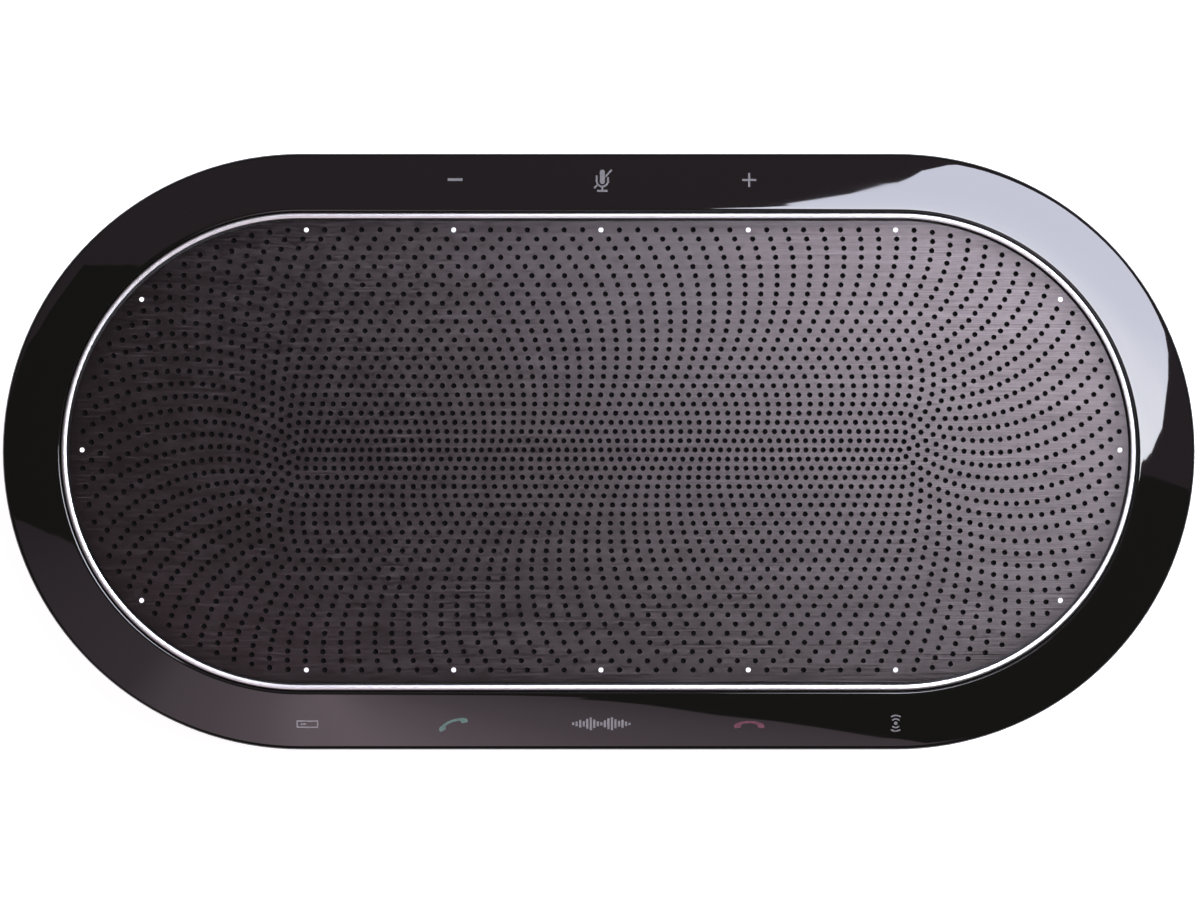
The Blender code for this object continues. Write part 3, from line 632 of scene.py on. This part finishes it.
# ---- Acoustic cloth -----------------------------------------------------------------------
# Fine black woven mesh glued under the sheet, punched where the light pins pass.

black_mesh = Finish("black_acoustic_mesh", (0.006, 0.006, 0.006), 0.9, Specular_IOR_Level=0.2)
weave = black_mesh.waves(700.0, "X") * black_mesh.waves(700.0, "Y")
black_mesh.bump(weave, 0.08)
black_mesh.set("Base Color", black_mesh.blend(weave, (0.002, 0.002, 0.002),
                                              (0.009, 0.009, 0.009)))
cloth_r, cloth_low, cloth_thick, pin_hole_r = 63.1, 60.1, 0.4, 1.3
cloth_shape = bmesh.new()
draw_loop(cloth_shape, stadium_outline(cloth_r, cloth_low, 48))
for spot in light_spots:
    draw_hole(cloth_shape, spot, pin_hole_r, cloth_low, 16)
bmesh.ops.triangle_fill(cloth_shape, use_beauty=True, use_dissolve=False,
                        edges=cloth_shape.edges[:])
thicken(cloth_shape, mm(0, 0, cloth_thick))
bmesh.ops.recalc_face_normals(cloth_shape, faces=cloth_shape.faces)
add_piece("acoustic_cloth", cloth_shape, black_mesh, replaced=["grille_cloth"])


# ---- Lower housing ------------------------------------------------------------------------
# One deep bowl of matt black plastic with a fine spark-eroded texture. Screw pillars, board
# posts and the wall of the rear socket bay are moulded in, and six screws hold the top on.

pillar_spots = ((48.0, 58.0), (48.0, -58.0), (-48.0, 58.0), (-48.0, -58.0),
                (spine_half + 58.0, 0.0), (-spine_half - 58.0, 0.0))
bay_half, bay_face_y, bay_top = 40.0, 64.4, 24.0
bay_wall = 2.4
lock_x, button_x, button_z = -19.0, -31.0, 13.6


def add_block(shape, x, y, z, ease=0.0, segments=2):
    """A block between pairs of limits, with all its edges eased."""
    made = bmesh.ops.create_cube(shape, size=1.0)["verts"]
    size = Matrix.Diagonal((x[1] - x[0], y[1] - y[0], z[1] - z[0], 1000.0)) * 0.001
    middle = mm((x[0] + x[1]) / 2, (y[0] + y[1]) / 2, (z[0] + z[1]) / 2)
    bmesh.ops.transform(shape, verts=made, matrix=Matrix.Translation(middle) @ size)
    if ease:
        edges = list({edge for vert in made for edge in vert.link_edges})
        bmesh.ops.bevel(shape, geom=edges, offset=mm(ease), offset_type="OFFSET", affect="EDGES",
                        segments=segments, profile=0.5, material=-1)


def add_rod(shape, start, end, radius, steps=24, tip=None):
    """A straight round bar between two points, tapered if its tip is given."""
    start, end = mm(*start), mm(*end)
    along = end - start
    turn = along.to_track_quat("Z", "Y").to_matrix().to_4x4()
    bmesh.ops.create_cone(shape, cap_ends=True, segments=steps, radius1=mm(radius),
                          radius2=mm(radius if tip is None else tip), depth=along.length,
                          matrix=Matrix.Translation((start + end) / 2) @ turn)


matt_black = Finish("matt_black_plastic", (0.018, 0.018, 0.0185), 0.5)
grain = matt_black.noise(2600.0, 4.0, 0.6)
blotch = matt_black.noise(45.0, 3.0)
matt_black.set("Roughness", matt_black.span(blotch, 0.3, 0.7, 0.44, 0.56))
matt_black.set("Base Color", matt_black.blend(matt_black.span(grain, 0.3, 0.7, 0.0, 1.0),
                                              (0.014, 0.014, 0.0145), (0.022, 0.022, 0.0225)))
matt_black.bump(grain, 0.05, 0.8)

bowl_section = [(63.2, 2.2), (64.6, 2.3), (66.4, 2.7), (68.1, 3.9)]
bowl_section += [(69.4, 6.2), (70.8, 9.3), (72.0, 12.5), (73.5, 16.8), (74.9, 21.3), (76.2, 26.0),
                 (77.2, 30.6), (78.1, 35.4), (78.8, 40.0), (79.3, 45.2), (79.55, 49.6)]
bowl_section += arc((79.15, 50.1), 0.4, 0, 90, 4) + [(78.7, 50.5), (78.5, 50.7), (78.5, 53.5),
                                                     (78.2, 53.8)]
bowl = bmesh.new()
sweep_stadium(bowl, bowl_section, closed=False)
housing = add_piece("housing_bowl", bowl, matt_black, replaced=["lower_housing"])

hollow = bmesh.new()
sweep_stadium(hollow, [(62.0, 4.8), (65.6, 5.8), (69.6, 12.8), (73.8, 26.2), (76.4, 40.1),
                       (77.2, 50.5), (77.2, 56.0)], closed=False, steps=36)
hollow_piece = place_mesh("hollow", hollow)
standing = bmesh.new()
for x, y in pillar_spots:
    add_rod(standing, (x, y, 2), (x, y, 47.6), 4.6, 28)
for x in (-31.0, 31.0):
    for y in (-46.0, 26.0):
        add_rod(standing, (x, y, 2), (x, y, 12.1), 3.0, 20)
    add_block(standing, (x - 3, x + 3), (38, 54), (2, 5.9))
add_block(standing, (-bay_half - bay_wall, bay_half + bay_wall), (bay_face_y - bay_wall, 90),
          (2, bay_top + bay_wall))
carve(hollow_piece, standing)
hollow = bmesh.new()
hollow.from_mesh(hollow_piece.data)
bpy.data.objects.remove(hollow_piece)
carve(housing, hollow)

openings = bmesh.new()
add_block(openings, (-bay_half, bay_half), (bay_face_y, 95), (-6, bay_top), 1.6, 4)
sweep_stadium(openings, [(54.7, 1.0), (54.7, 3.4), (61.3, 3.4), (61.3, 1.0)], steps=48)
carve(housing, openings)
openings = bmesh.new()
for x, y in pillar_spots:
    add_rod(openings, (x, y, 3), (x, y, 39.8), 3.2, 24)
for (x0, x1), (z0, z1) in (((-12.5, 2.5), (7.9, 15.6)), ((5.6, 18.4), (7.9, 19.3)),
                           ((20.2, 27.8), (7.9, 14.4)), ((28.4, 38.0), (7.9, 19.4)),
                           ((lock_x - 3.7, lock_x + 3.7), (11.9, 15.3))):
    add_block(openings, (x0, x1), (bay_face_y - bay_wall - 1, bay_face_y + 1), (z0, z1))
add_rod(openings, (button_x, bay_face_y - bay_wall - 1, button_z),
        (button_x, bay_face_y + 1, button_z), 4.3, 40)
carve(housing, openings)
threads = bmesh.new()
for x, y in pillar_spots:
    add_rod(threads, (x, y, 38), (x, y, 49), 1.8, 20)
carve(housing, threads)


# ---- Rubber foot --------------------------------------------------------------------------
# A soft black rubber band pressed into a groove under the housing, over the screw wells. It
# stands on the table on its rounded edge, and fine ribs run round it for grip.

rubber = Finish("soft_black_rubber", (0.02, 0.02, 0.02), 0.8)
rubber.scuff(0.7, 0.9, 250.0)
rubber.mottle((0.012, 0.012, 0.012), (0.026, 0.026, 0.026), 1400.0, 4.0)
rubber.bump(rubber.noise(2200.0, 4.0), 0.04, 0.7)
foot_section = [(55.0, 3.1), (55.0, 0.9)] + arc((55.9, 0.9), 0.9, 180, 262, 6)
for centre in (56.7, 57.6, 58.4, 59.3):
    foot_section += [(centre - 0.22, 0.0), (centre, 0.18), (centre + 0.22, 0.0)]
foot_section += arc((60.1, 0.9), 0.9, 278, 360, 6) + [(61.0, 3.1)]
foot_shape = bmesh.new()
sweep_stadium(foot_shape, foot_section)
add_piece("rubber_foot", foot_shape, rubber, replaced=["foot_ring"],
          sharp=25.0)


# ---- Blank label --------------------------------------------------------------------------
# A silver-grey film label under the housing, with rounded corners and a raised frame line.
# It is left blank.

film = Finish("silver_label_film", (0.5, 0.5, 0.51), 0.4)
film.mottle((0.42, 0.42, 0.43), (0.56, 0.56, 0.57), 1.0, 3.0, 0.6, (60.0, 2400.0, 1.0))
film.scuff(0.32, 0.48, 180.0)


def rounded(width, height, corner, steps=6):
    """The outline of a rounded rectangle about the origin."""
    a, b = width / 2 - corner, height / 2 - corner
    return (arc((a, b), corner, 0, 90, steps) + arc((-a, b), corner, 90, 180, steps)
            + arc((-a, -b), corner, 180, 270, steps) + arc((a, -b), corner, 270, 360, steps))


label_low, label_top = 1.65, 1.9
label_shape = bmesh.new()
face = label_shape.faces.new([label_shape.verts.new(mm(x, y, label_low))
                              for x, y in rounded(70, 30, 2.5)])
bmesh.ops.inset_region(label_shape, faces=[face], thickness=mm(1.6))
frame_faces = bmesh.ops.inset_region(label_shape, faces=[face], thickness=mm(0.4))["faces"]
bmesh.ops.translate(label_shape, vec=mm(0, 0, -0.05),
                    verts=list({vert for part in frame_faces for vert in part.verts}))
for vert in thicken(label_shape, (0, 0, 0)):
    vert.co.z = mm(label_top)
bmesh.ops.recalc_face_normals(label_shape, faces=label_shape.faces)
add_piece("blank_label", label_shape, film, replaced=["rating_label"])


# ---- Rear sockets -------------------------------------------------------------------------
# Four sockets soldered to the port board open into the bay: two in folded plated steel with a
# plastic tongue and gold contacts, an audio socket and a power inlet in black plastic.

plated = Finish("plated_steel", (0.6, 0.6, 0.6), 0.3, 1.0)
plated.mottle((0.5, 0.5, 0.5), (0.66, 0.66, 0.65), 120.0, 4.0)
plated.scuff(0.22, 0.38, 700.0, 4.0)
gold = Finish("gold_contact", (0.85, 0.6, 0.25), 0.25, 1.0)
gold.scuff(0.18, 0.32, 900.0)
inner_plastic = Finish("inner_black_plastic", (0.022, 0.022, 0.023), 0.55)
inner_plastic.mottle((0.016, 0.016, 0.017), (0.03, 0.03, 0.031), 700.0, 4.0)
inner_plastic.scuff(0.5, 0.65, 90.0)
inner_plastic.bump(inner_plastic.noise(1800.0, 3.0), 0.03, 0.6)


def block_piece(name, finish, blocks, replaced=(), body="body", ease=0.2):
    """A piece of one or more eased blocks."""
    shape = bmesh.new()
    for x, y, z in blocks:
        add_block(shape, x, y, z, ease)
    return add_piece(name, shape, finish, body=body, replaced=replaced)


def cut_block(piece, x, y, z, ease=0.0):
    cutter = bmesh.new()
    add_block(cutter, x, y, z, ease)
    carve(piece, cutter)


def bore(piece, x, z, start, end, radius, steps):
    """Drills a round hole along the Y axis."""
    cutter = bmesh.new()
    add_rod(cutter, (x, start, z), (x, end, z), radius, steps)
    carve(piece, cutter)


flat_shell = block_piece("flat_socket_shell", plated, [((-12.2, 2.2), (49.6, 64.1), (8.1, 15.3))],
                         ["usb_a_socket"], ease=0.5)
cut_block(flat_shell, (-11.7, 1.7), (50.6, 66.0), (8.8, 14.7), 0.3)
for x in (-8.6, -1.4):
    cut_block(flat_shell, (x - 1.5, x - 1.1), (56.0, 62.4), (6.0, 17.0))
    cut_block(flat_shell, (x + 1.1, x + 1.5), (56.0, 62.4), (6.0, 17.0))
    cut_block(flat_shell, (x - 1.5, x + 1.5), (55.6, 56.1), (6.0, 17.0))
block_piece("flat_socket_tongue", inner_plastic, [((-10.9, 0.9), (50.7, 62.9), (12.2, 13.7))],
            ease=0.25)
block_piece("flat_socket_contacts", gold,
            [((x - 0.55, x + 0.55), (53.0, 62.2), (12.05, 12.19))
             for x in (-8.6, -6.2, -3.8, -1.4)], ease=0.03)

square_shell = block_piece("square_socket_shell", plated,
                           [((5.9, 18.1), (48.0, 64.1), (8.1, 19.0))],
                           ["usb_b_socket"], ease=0.5)
mouth = bmesh.new()
mouth_outline = [(7.4, 9.3), (16.6, 9.3), (16.6, 16.2), (15.2, 17.7), (8.8, 17.7), (7.4, 16.2)]
mouth.faces.new([mouth.verts.new(mm(x, 49.0, z)) for x, z in mouth_outline])
thicken(mouth, mm(0, 17.0, 0))
carve(square_shell, mouth)
block_piece("square_socket_tongue", inner_plastic, [((9.4, 14.6), (49.1, 62.4), (12.0, 15.0))],
            ease=0.25)
block_piece("square_socket_contacts", gold,
            [((x - 0.5, x + 0.5), (52.0, 61.8), (z, z + 0.12)) for x in (10.8, 13.2)
             for z in (11.86, 15.02)], ease=0.03)

audio_x, audio_z = 24.0, 11.1
power_x, power_z = 33.2, 13.8
audio = block_piece("audio_jack", inner_plastic, [((20.5, 27.5), (50.0, 64.1), (8.1, 14.1))],
                    ["audio_socket"], ease=0.4)
bore(audio, audio_x, audio_z, 52.1, 66.0, 1.8, 32)
power = block_piece("power_jack", inner_plastic, [((28.7, 37.7), (49.8, 64.1), (8.1, 19.1))],
                    ["power_inlet"], ease=0.5)
bore(power, power_x, power_z, 54.1, 66.0, 3.2, 36)


def turn_section(shape, section, base, axis=(0, 0, 1), steps=48, closed=True):
    """Turns a section of (radius, distance along the axis) all the way round."""
    along = Vector(axis)
    out = Vector((1, 0, 0))
    points = [shape.verts.new(mm(*base) + (out * r + along * h) * 0.001) for r, h in section]
    edges = [shape.edges.new(pair) for pair in zip(points, points[1:])]
    if closed:
        edges.append(shape.edges.new((points[-1], points[0])))
    bmesh.ops.spin(shape, geom=points + edges, cent=mm(*base), axis=axis, angle=2 * math.pi,
                   steps=steps, use_merge=True)
    bmesh.ops.remove_doubles(shape, verts=shape.verts, dist=1e-6)
    bmesh.ops.recalc_face_normals(shape, faces=shape.faces)


audio_sleeve = bmesh.new()
turn_section(audio_sleeve, [(1.78, 0.3), (1.55, 0.3), (1.55, 8.6), (1.4, 9.4), (1.6, 10.2),
                            (1.78, 10.2)], (audio_x, 52.4, audio_z), (0, 1, 0), 28)
add_piece("audio_jack_sleeve", audio_sleeve, plated)
pin_shape = bmesh.new()
turn_section(pin_shape, [(0.0, 0.2), (1.0, 0.2), (1.0, 8.2), (0.75, 8.8), (0.35, 9.1), (0.0, 9.2)],
             (power_x, 54.1, power_z), (0, 1, 0), 24, closed=False)
add_piece("power_jack_pin", pin_shape, plated)


# ---- Lock slot ----------------------------------------------------------------------------
# A stamped steel plate behind the bay's wall takes a security lock.

lock = block_piece("lock_slot_plate", plated, [((lock_x - 6.4, lock_x + 6.4), (60.3, 61.7),
                                                (8.1, 19.0))], ["lock_plate"],
                   ease=0.35)
cut_block(lock, (lock_x - 3.5, lock_x + 3.5), (59.0, 63.0), (12.1, 15.1), 0.5)


# ---- Power button -------------------------------------------------------------------------
# A round matt cap that slides in through the bay's wall, with a dished face and a stem behind.

button_cap = bmesh.new()
cap_section = [(0.0, 57.6), (1.15, 57.6), (1.3, 57.75), (1.3, 60.2), (4.9, 60.2), (5.0, 60.3),
               (5.0, 61.4), (4.9, 61.5), (3.9, 61.5), (3.9, 64.75)]
cap_section += arc((3.55, 64.75), 0.35, 0, 90, 5)[1:]
cap_section += [(3.3, 65.1), (3.1, 64.98), (2.2, 64.82), (1.1, 64.72), (0.0, 64.7)]
turn_section(button_cap, cap_section, (button_x, 0.0, button_z), (0, 1, 0), 48, closed=False)
add_piece("power_button_cap", button_cap, matt_black, body="button", replaced=["power_button"],
          sharp=30.0)
plunger = bmesh.new()
turn_section(plunger, [(0.0, 54.9), (1.4, 54.9), (1.6, 55.1), (1.6, 57.0), (1.3, 57.3),
                       (0.0, 57.3)], (button_x, 0.0, button_z), (0, 1, 0), 28, closed=False)
add_piece("switch_button", plunger, inner_plastic, body="button", replaced=["switch_plunger"])
switch_box = block_piece("switch_case", inner_plastic,
                         [((button_x - 3, button_x + 3), (52.4, 56.0), (8.1, 16.8))],
                         ["power_switch"], ease=0.3)
bore(switch_box, button_x, button_z, 53.8, 57.0, 2.0, 28)


# ---- Drivers ------------------------------------------------------------------------------
# Two full-range drivers face up at the spine's ends. Each is a stamped steel basket on a
# ferrite magnet, with a coil, a paper cone and a dust cap that ride up and down together on
# a corrugated cloth spider and a rubber roll.

dark_steel = Finish("dark_coated_steel", (0.08, 0.08, 0.085), 0.45, 0.8)
dark_steel.mottle((0.055, 0.055, 0.06), (0.1, 0.1, 0.105), 260.0, 4.0)
dark_steel.scuff(0.38, 0.52, 900.0)
ferrite = Finish("grey_ferrite", (0.06, 0.06, 0.065), 0.7)
grains = ferrite.node("ShaderNodeTexVoronoi", {}, {"Vector": ferrite.place(), "Scale": 900.0})
ferrite.set("Base Color", ferrite.blend(grains, (0.045, 0.045, 0.05), (0.085, 0.085, 0.09)))
ferrite.scuff(0.6, 0.8, 400.0)
ferrite.bump(ferrite.noise(1500.0, 4.0), 0.05, 0.6)
copper = Finish("enamelled_copper", (0.72, 0.34, 0.18), 0.35, 1.0)
turns = copper.waves(1400.0, "Z")
copper.set("Roughness", copper.span(turns, 0.2, 0.8, 0.28, 0.45))
copper.bump(turns, 0.06)
paper = Finish("black_paper_pulp", (0.03, 0.03, 0.031), 0.8)
paper.mottle((0.016, 0.016, 0.017), (0.048, 0.047, 0.046), 1300.0, 5.0, 0.7)
paper.scuff(0.7, 0.9, 400.0)
paper.bump(paper.noise(1700.0, 5.0, 0.7), 0.08, 0.9)
spider_cloth = Finish("resin_cloth", (0.6, 0.46, 0.2), 0.9)
weave = spider_cloth.waves(500.0, "X") * spider_cloth.waves(500.0, "Y")
spider_cloth.set("Base Color", spider_cloth.blend(weave, (0.42, 0.31, 0.12), (0.66, 0.52, 0.25)))
spider_cloth.set("Roughness", spider_cloth.span(weave, 0.0, 1.0, 0.82, 0.95))
spider_cloth.bump(weave, 0.06)

spider_waves = [(9.4 + 0.3 * i, 40.85 + 0.55 * math.sin(2 * math.pi * (9.4 + 0.3 * i - 10.8) / 6.4)
                 * min(1.0, (22.6 - (9.4 + 0.3 * i)) / 2.0)) for i in range(44)]
spider_section = ([(r, z + 0.2) for r, z in spider_waves] + [(22.6, 40.8), (24.8, 40.8),
                  (25.0, 40.7), (25.0, 40.4), (24.8, 40.3), (22.6, 40.3)]
                  + [(r, z - 0.2) for r, z in spider_waves[::-1]])
cone_curve = [(9.4, 45.0), (11.4, 46.05), (13.4, 47.0), (15.4, 47.9), (17.5, 48.75), (19.5, 49.6),
              (21.5, 50.4), (23.5, 51.2), (25.6, 51.95)]
driver_pieces = (
    ("stamped_basket", dark_steel, "body", "basket", "dark_steel",
     [(36.0, 50.8), (36.0, 51.9), (35.7, 52.2), (31.4, 52.2), (30.7, 51.8), (29.6, 47.2),
      (25.7, 40.3), (25.2, 40.0), (22.2, 40.0), (21.7, 39.7), (19.1, 33.2), (18.7, 33.0),
      (10.7, 33.0), (10.5, 32.8), (10.5, 31.4), (20.0, 31.4), (20.5, 31.7), (23.4, 37.7),
      (24.0, 38.3), (31.1, 46.4), (31.9, 50.2), (32.3, 50.7)]),
    ("front_plate", plated, "body", "top_plate", "plated_steel",
     [(9.9, 27.1), (9.9, 31.0), (10.0, 31.1), (19.7, 31.1), (20.0, 30.8), (20.0, 27.3),
      (19.7, 27.0), (10.0, 27.0)]),
    ("ferrite_magnet", ferrite, "body", "magnet", "ferrite",
     [(12.0, 16.8), (12.0, 26.4), (12.3, 26.7), (23.2, 26.7), (23.8, 26.4), (24.0, 25.8),
      (24.0, 17.3), (23.8, 16.7), (23.2, 16.4), (12.3, 16.4)]),
    ("vented_yoke", plated, "body", "yoke", "plated_steel",
     [(2.5, 13.0), (2.5, 30.8), (2.8, 31.1), (7.8, 31.1), (8.2, 30.7), (8.2, 16.6), (8.7, 16.1),
      (19.8, 16.1), (20.0, 15.9), (20.0, 13.4), (19.2, 12.6), (2.9, 12.6)]),
    ("cloth_spider", spider_cloth, "body", "spider", "spider_cloth", spider_section),
    ("coil_former", copper, "motion", "voice_coil", "copper",
     [(8.65, 29.0), (8.65, 45.6), (9.05, 45.6), (9.05, 35.1), (9.4, 35.0), (9.5, 34.8),
      (9.5, 29.3), (9.4, 29.1)]),
    ("paper_cone_body", paper, "motion", "cone", "paper_cone",
     [(r, z + 0.38) for r, z in cone_curve] + [(r, z - 0.34) for r, z in cone_curve[::-1]]),
    ("rubber_roll", rubber, "body", "surround", "soft_rubber",
     [(24.0, 52.6), (24.0, 53.0), (26.3, 53.0)] + arc((29.0, 53.0), 2.5, 176, 4, 14)
     + [(31.7, 53.0), (35.0, 53.0), (35.0, 52.5), (31.1, 52.5)]
     + arc((29.0, 52.9), 2.0, 8, 172, 12) + [(26.9, 52.6)]),
)
for side, x in (("left", -spine_half), ("right", spine_half)):
    for name, finish, body, node, slot, section in driver_pieces:
        shape = bmesh.new()
        turn_section(shape, section, (x, 0.0, 0.0), steps=72)
        piece = add_piece(f"{side}_{name}", shape, finish,
                          body="body" if body == "body" else f"{side}_driver_motion",
                          replaced=[f"{side}_{node}"], sharp=40.0)
        if name == "stamped_basket":
            windows = bmesh.new()
            for quarter in range(4):
                made = bmesh.ops.create_cube(windows, size=1.0)["verts"]
                turned = Matrix.Rotation(math.radians(45 + 90 * quarter), 4, "Z")
                bmesh.ops.transform(windows, verts=made, matrix=Matrix.Translation(mm(x, 0, 43.8))
                                    @ turned @ Matrix.Translation(mm(30, 0, 0))
                                    @ Matrix.Diagonal((0.016, 0.017, 0.0044, 1.0)))
            carve(piece, windows)
    shape = bmesh.new()
    turn_section(shape, [(0.0, 49.3), (3.0, 49.05), (5.6, 48.4), (7.6, 47.3), (9.0, 46.3),
                         (10.4, 46.3), (10.0, 46.75), (8.0, 48.0), (5.8, 49.0), (3.0, 49.65),
                         (0.0, 49.9)], (x, 0.0, 0.0), steps=72, closed=False)
    add_piece(f"{side}_dome_cap", shape, paper, body=f"{side}_driver_motion",
              replaced=[f"{side}_dust_cap"])


# ---- Chassis, boxes and microphones -------------------------------------------------------
# The drivers hang in a black chassis and blow into two round boxes. Rubber boots hold four
# microphones under the bezel. These keep their moulded shapes and take the inner finishes.

wire_skin = Finish("black_wire_skin", (0.016, 0.016, 0.016), 0.6)
wire_skin.scuff(0.5, 0.7, 600.0)
wire_skin.bump(wire_skin.noise(900.0), 0.03)


def keep_node(node, finish):
    """A part whose shape is already right only takes its finish."""
    kept = nodes[node]
    kept.data.materials.clear()
    kept.data.materials.append(finish.material)


for node in ("chassis", "left_speaker_box", "right_speaker_box"):
    keep_node(node, inner_plastic)
for side in ("left", "right"):
    keep_node(f"{side}_speaker_lead", wire_skin)
for number in range(1, 5):
    keep_node(f"microphone_{number}", rubber)
for number in range(1, 7):
    keep_node(f"housing_screw_{number}", plated)


# ---- Boards and ribbons -------------------------------------------------------------------
# Green glass-fibre boards with etched tracks carry the radio, the amplifier, the lamps and the
# touch pads, joined by flat amber ribbons.

board_green = Finish("green_circuit_board", (0.03, 0.16, 0.07), 0.4)
tracks = board_green.node("ShaderNodeTexBrick", {"offset": 0.5},
                          {"Vector": board_green.place(), "Scale": 260.0, "Mortar Size": 0.03,
                           "Color1": (0.016, 0.10, 0.042, 1.0), "Color2": (0.02, 0.12, 0.05, 1.0),
                           "Mortar": (0.045, 0.21, 0.09, 1.0)})
board_green.mottle(tracks, (0.018, 0.115, 0.05), 500.0)
board_green.scuff(0.32, 0.5, 900.0)
amber = Finish("amber_ribbon_film", (0.5, 0.25, 0.06), 0.35)
lines = amber.waves(300.0, "X")
amber.set("Base Color", amber.blend(lines, (0.36, 0.16, 0.035), (0.6, 0.33, 0.1)))
amber.set("Roughness", amber.span(lines, 0.0, 1.0, 0.28, 0.42))
for node in ("main_board", "port_board", "led_board", "front_touch_board", "rear_touch_board",
             "wireless_module"):
    keep_node(node, board_green)
for node in ("front_ribbon", "rear_ribbon", "contactless_antenna"):
    keep_node(node, amber)
keep_node("shield_can", plated)
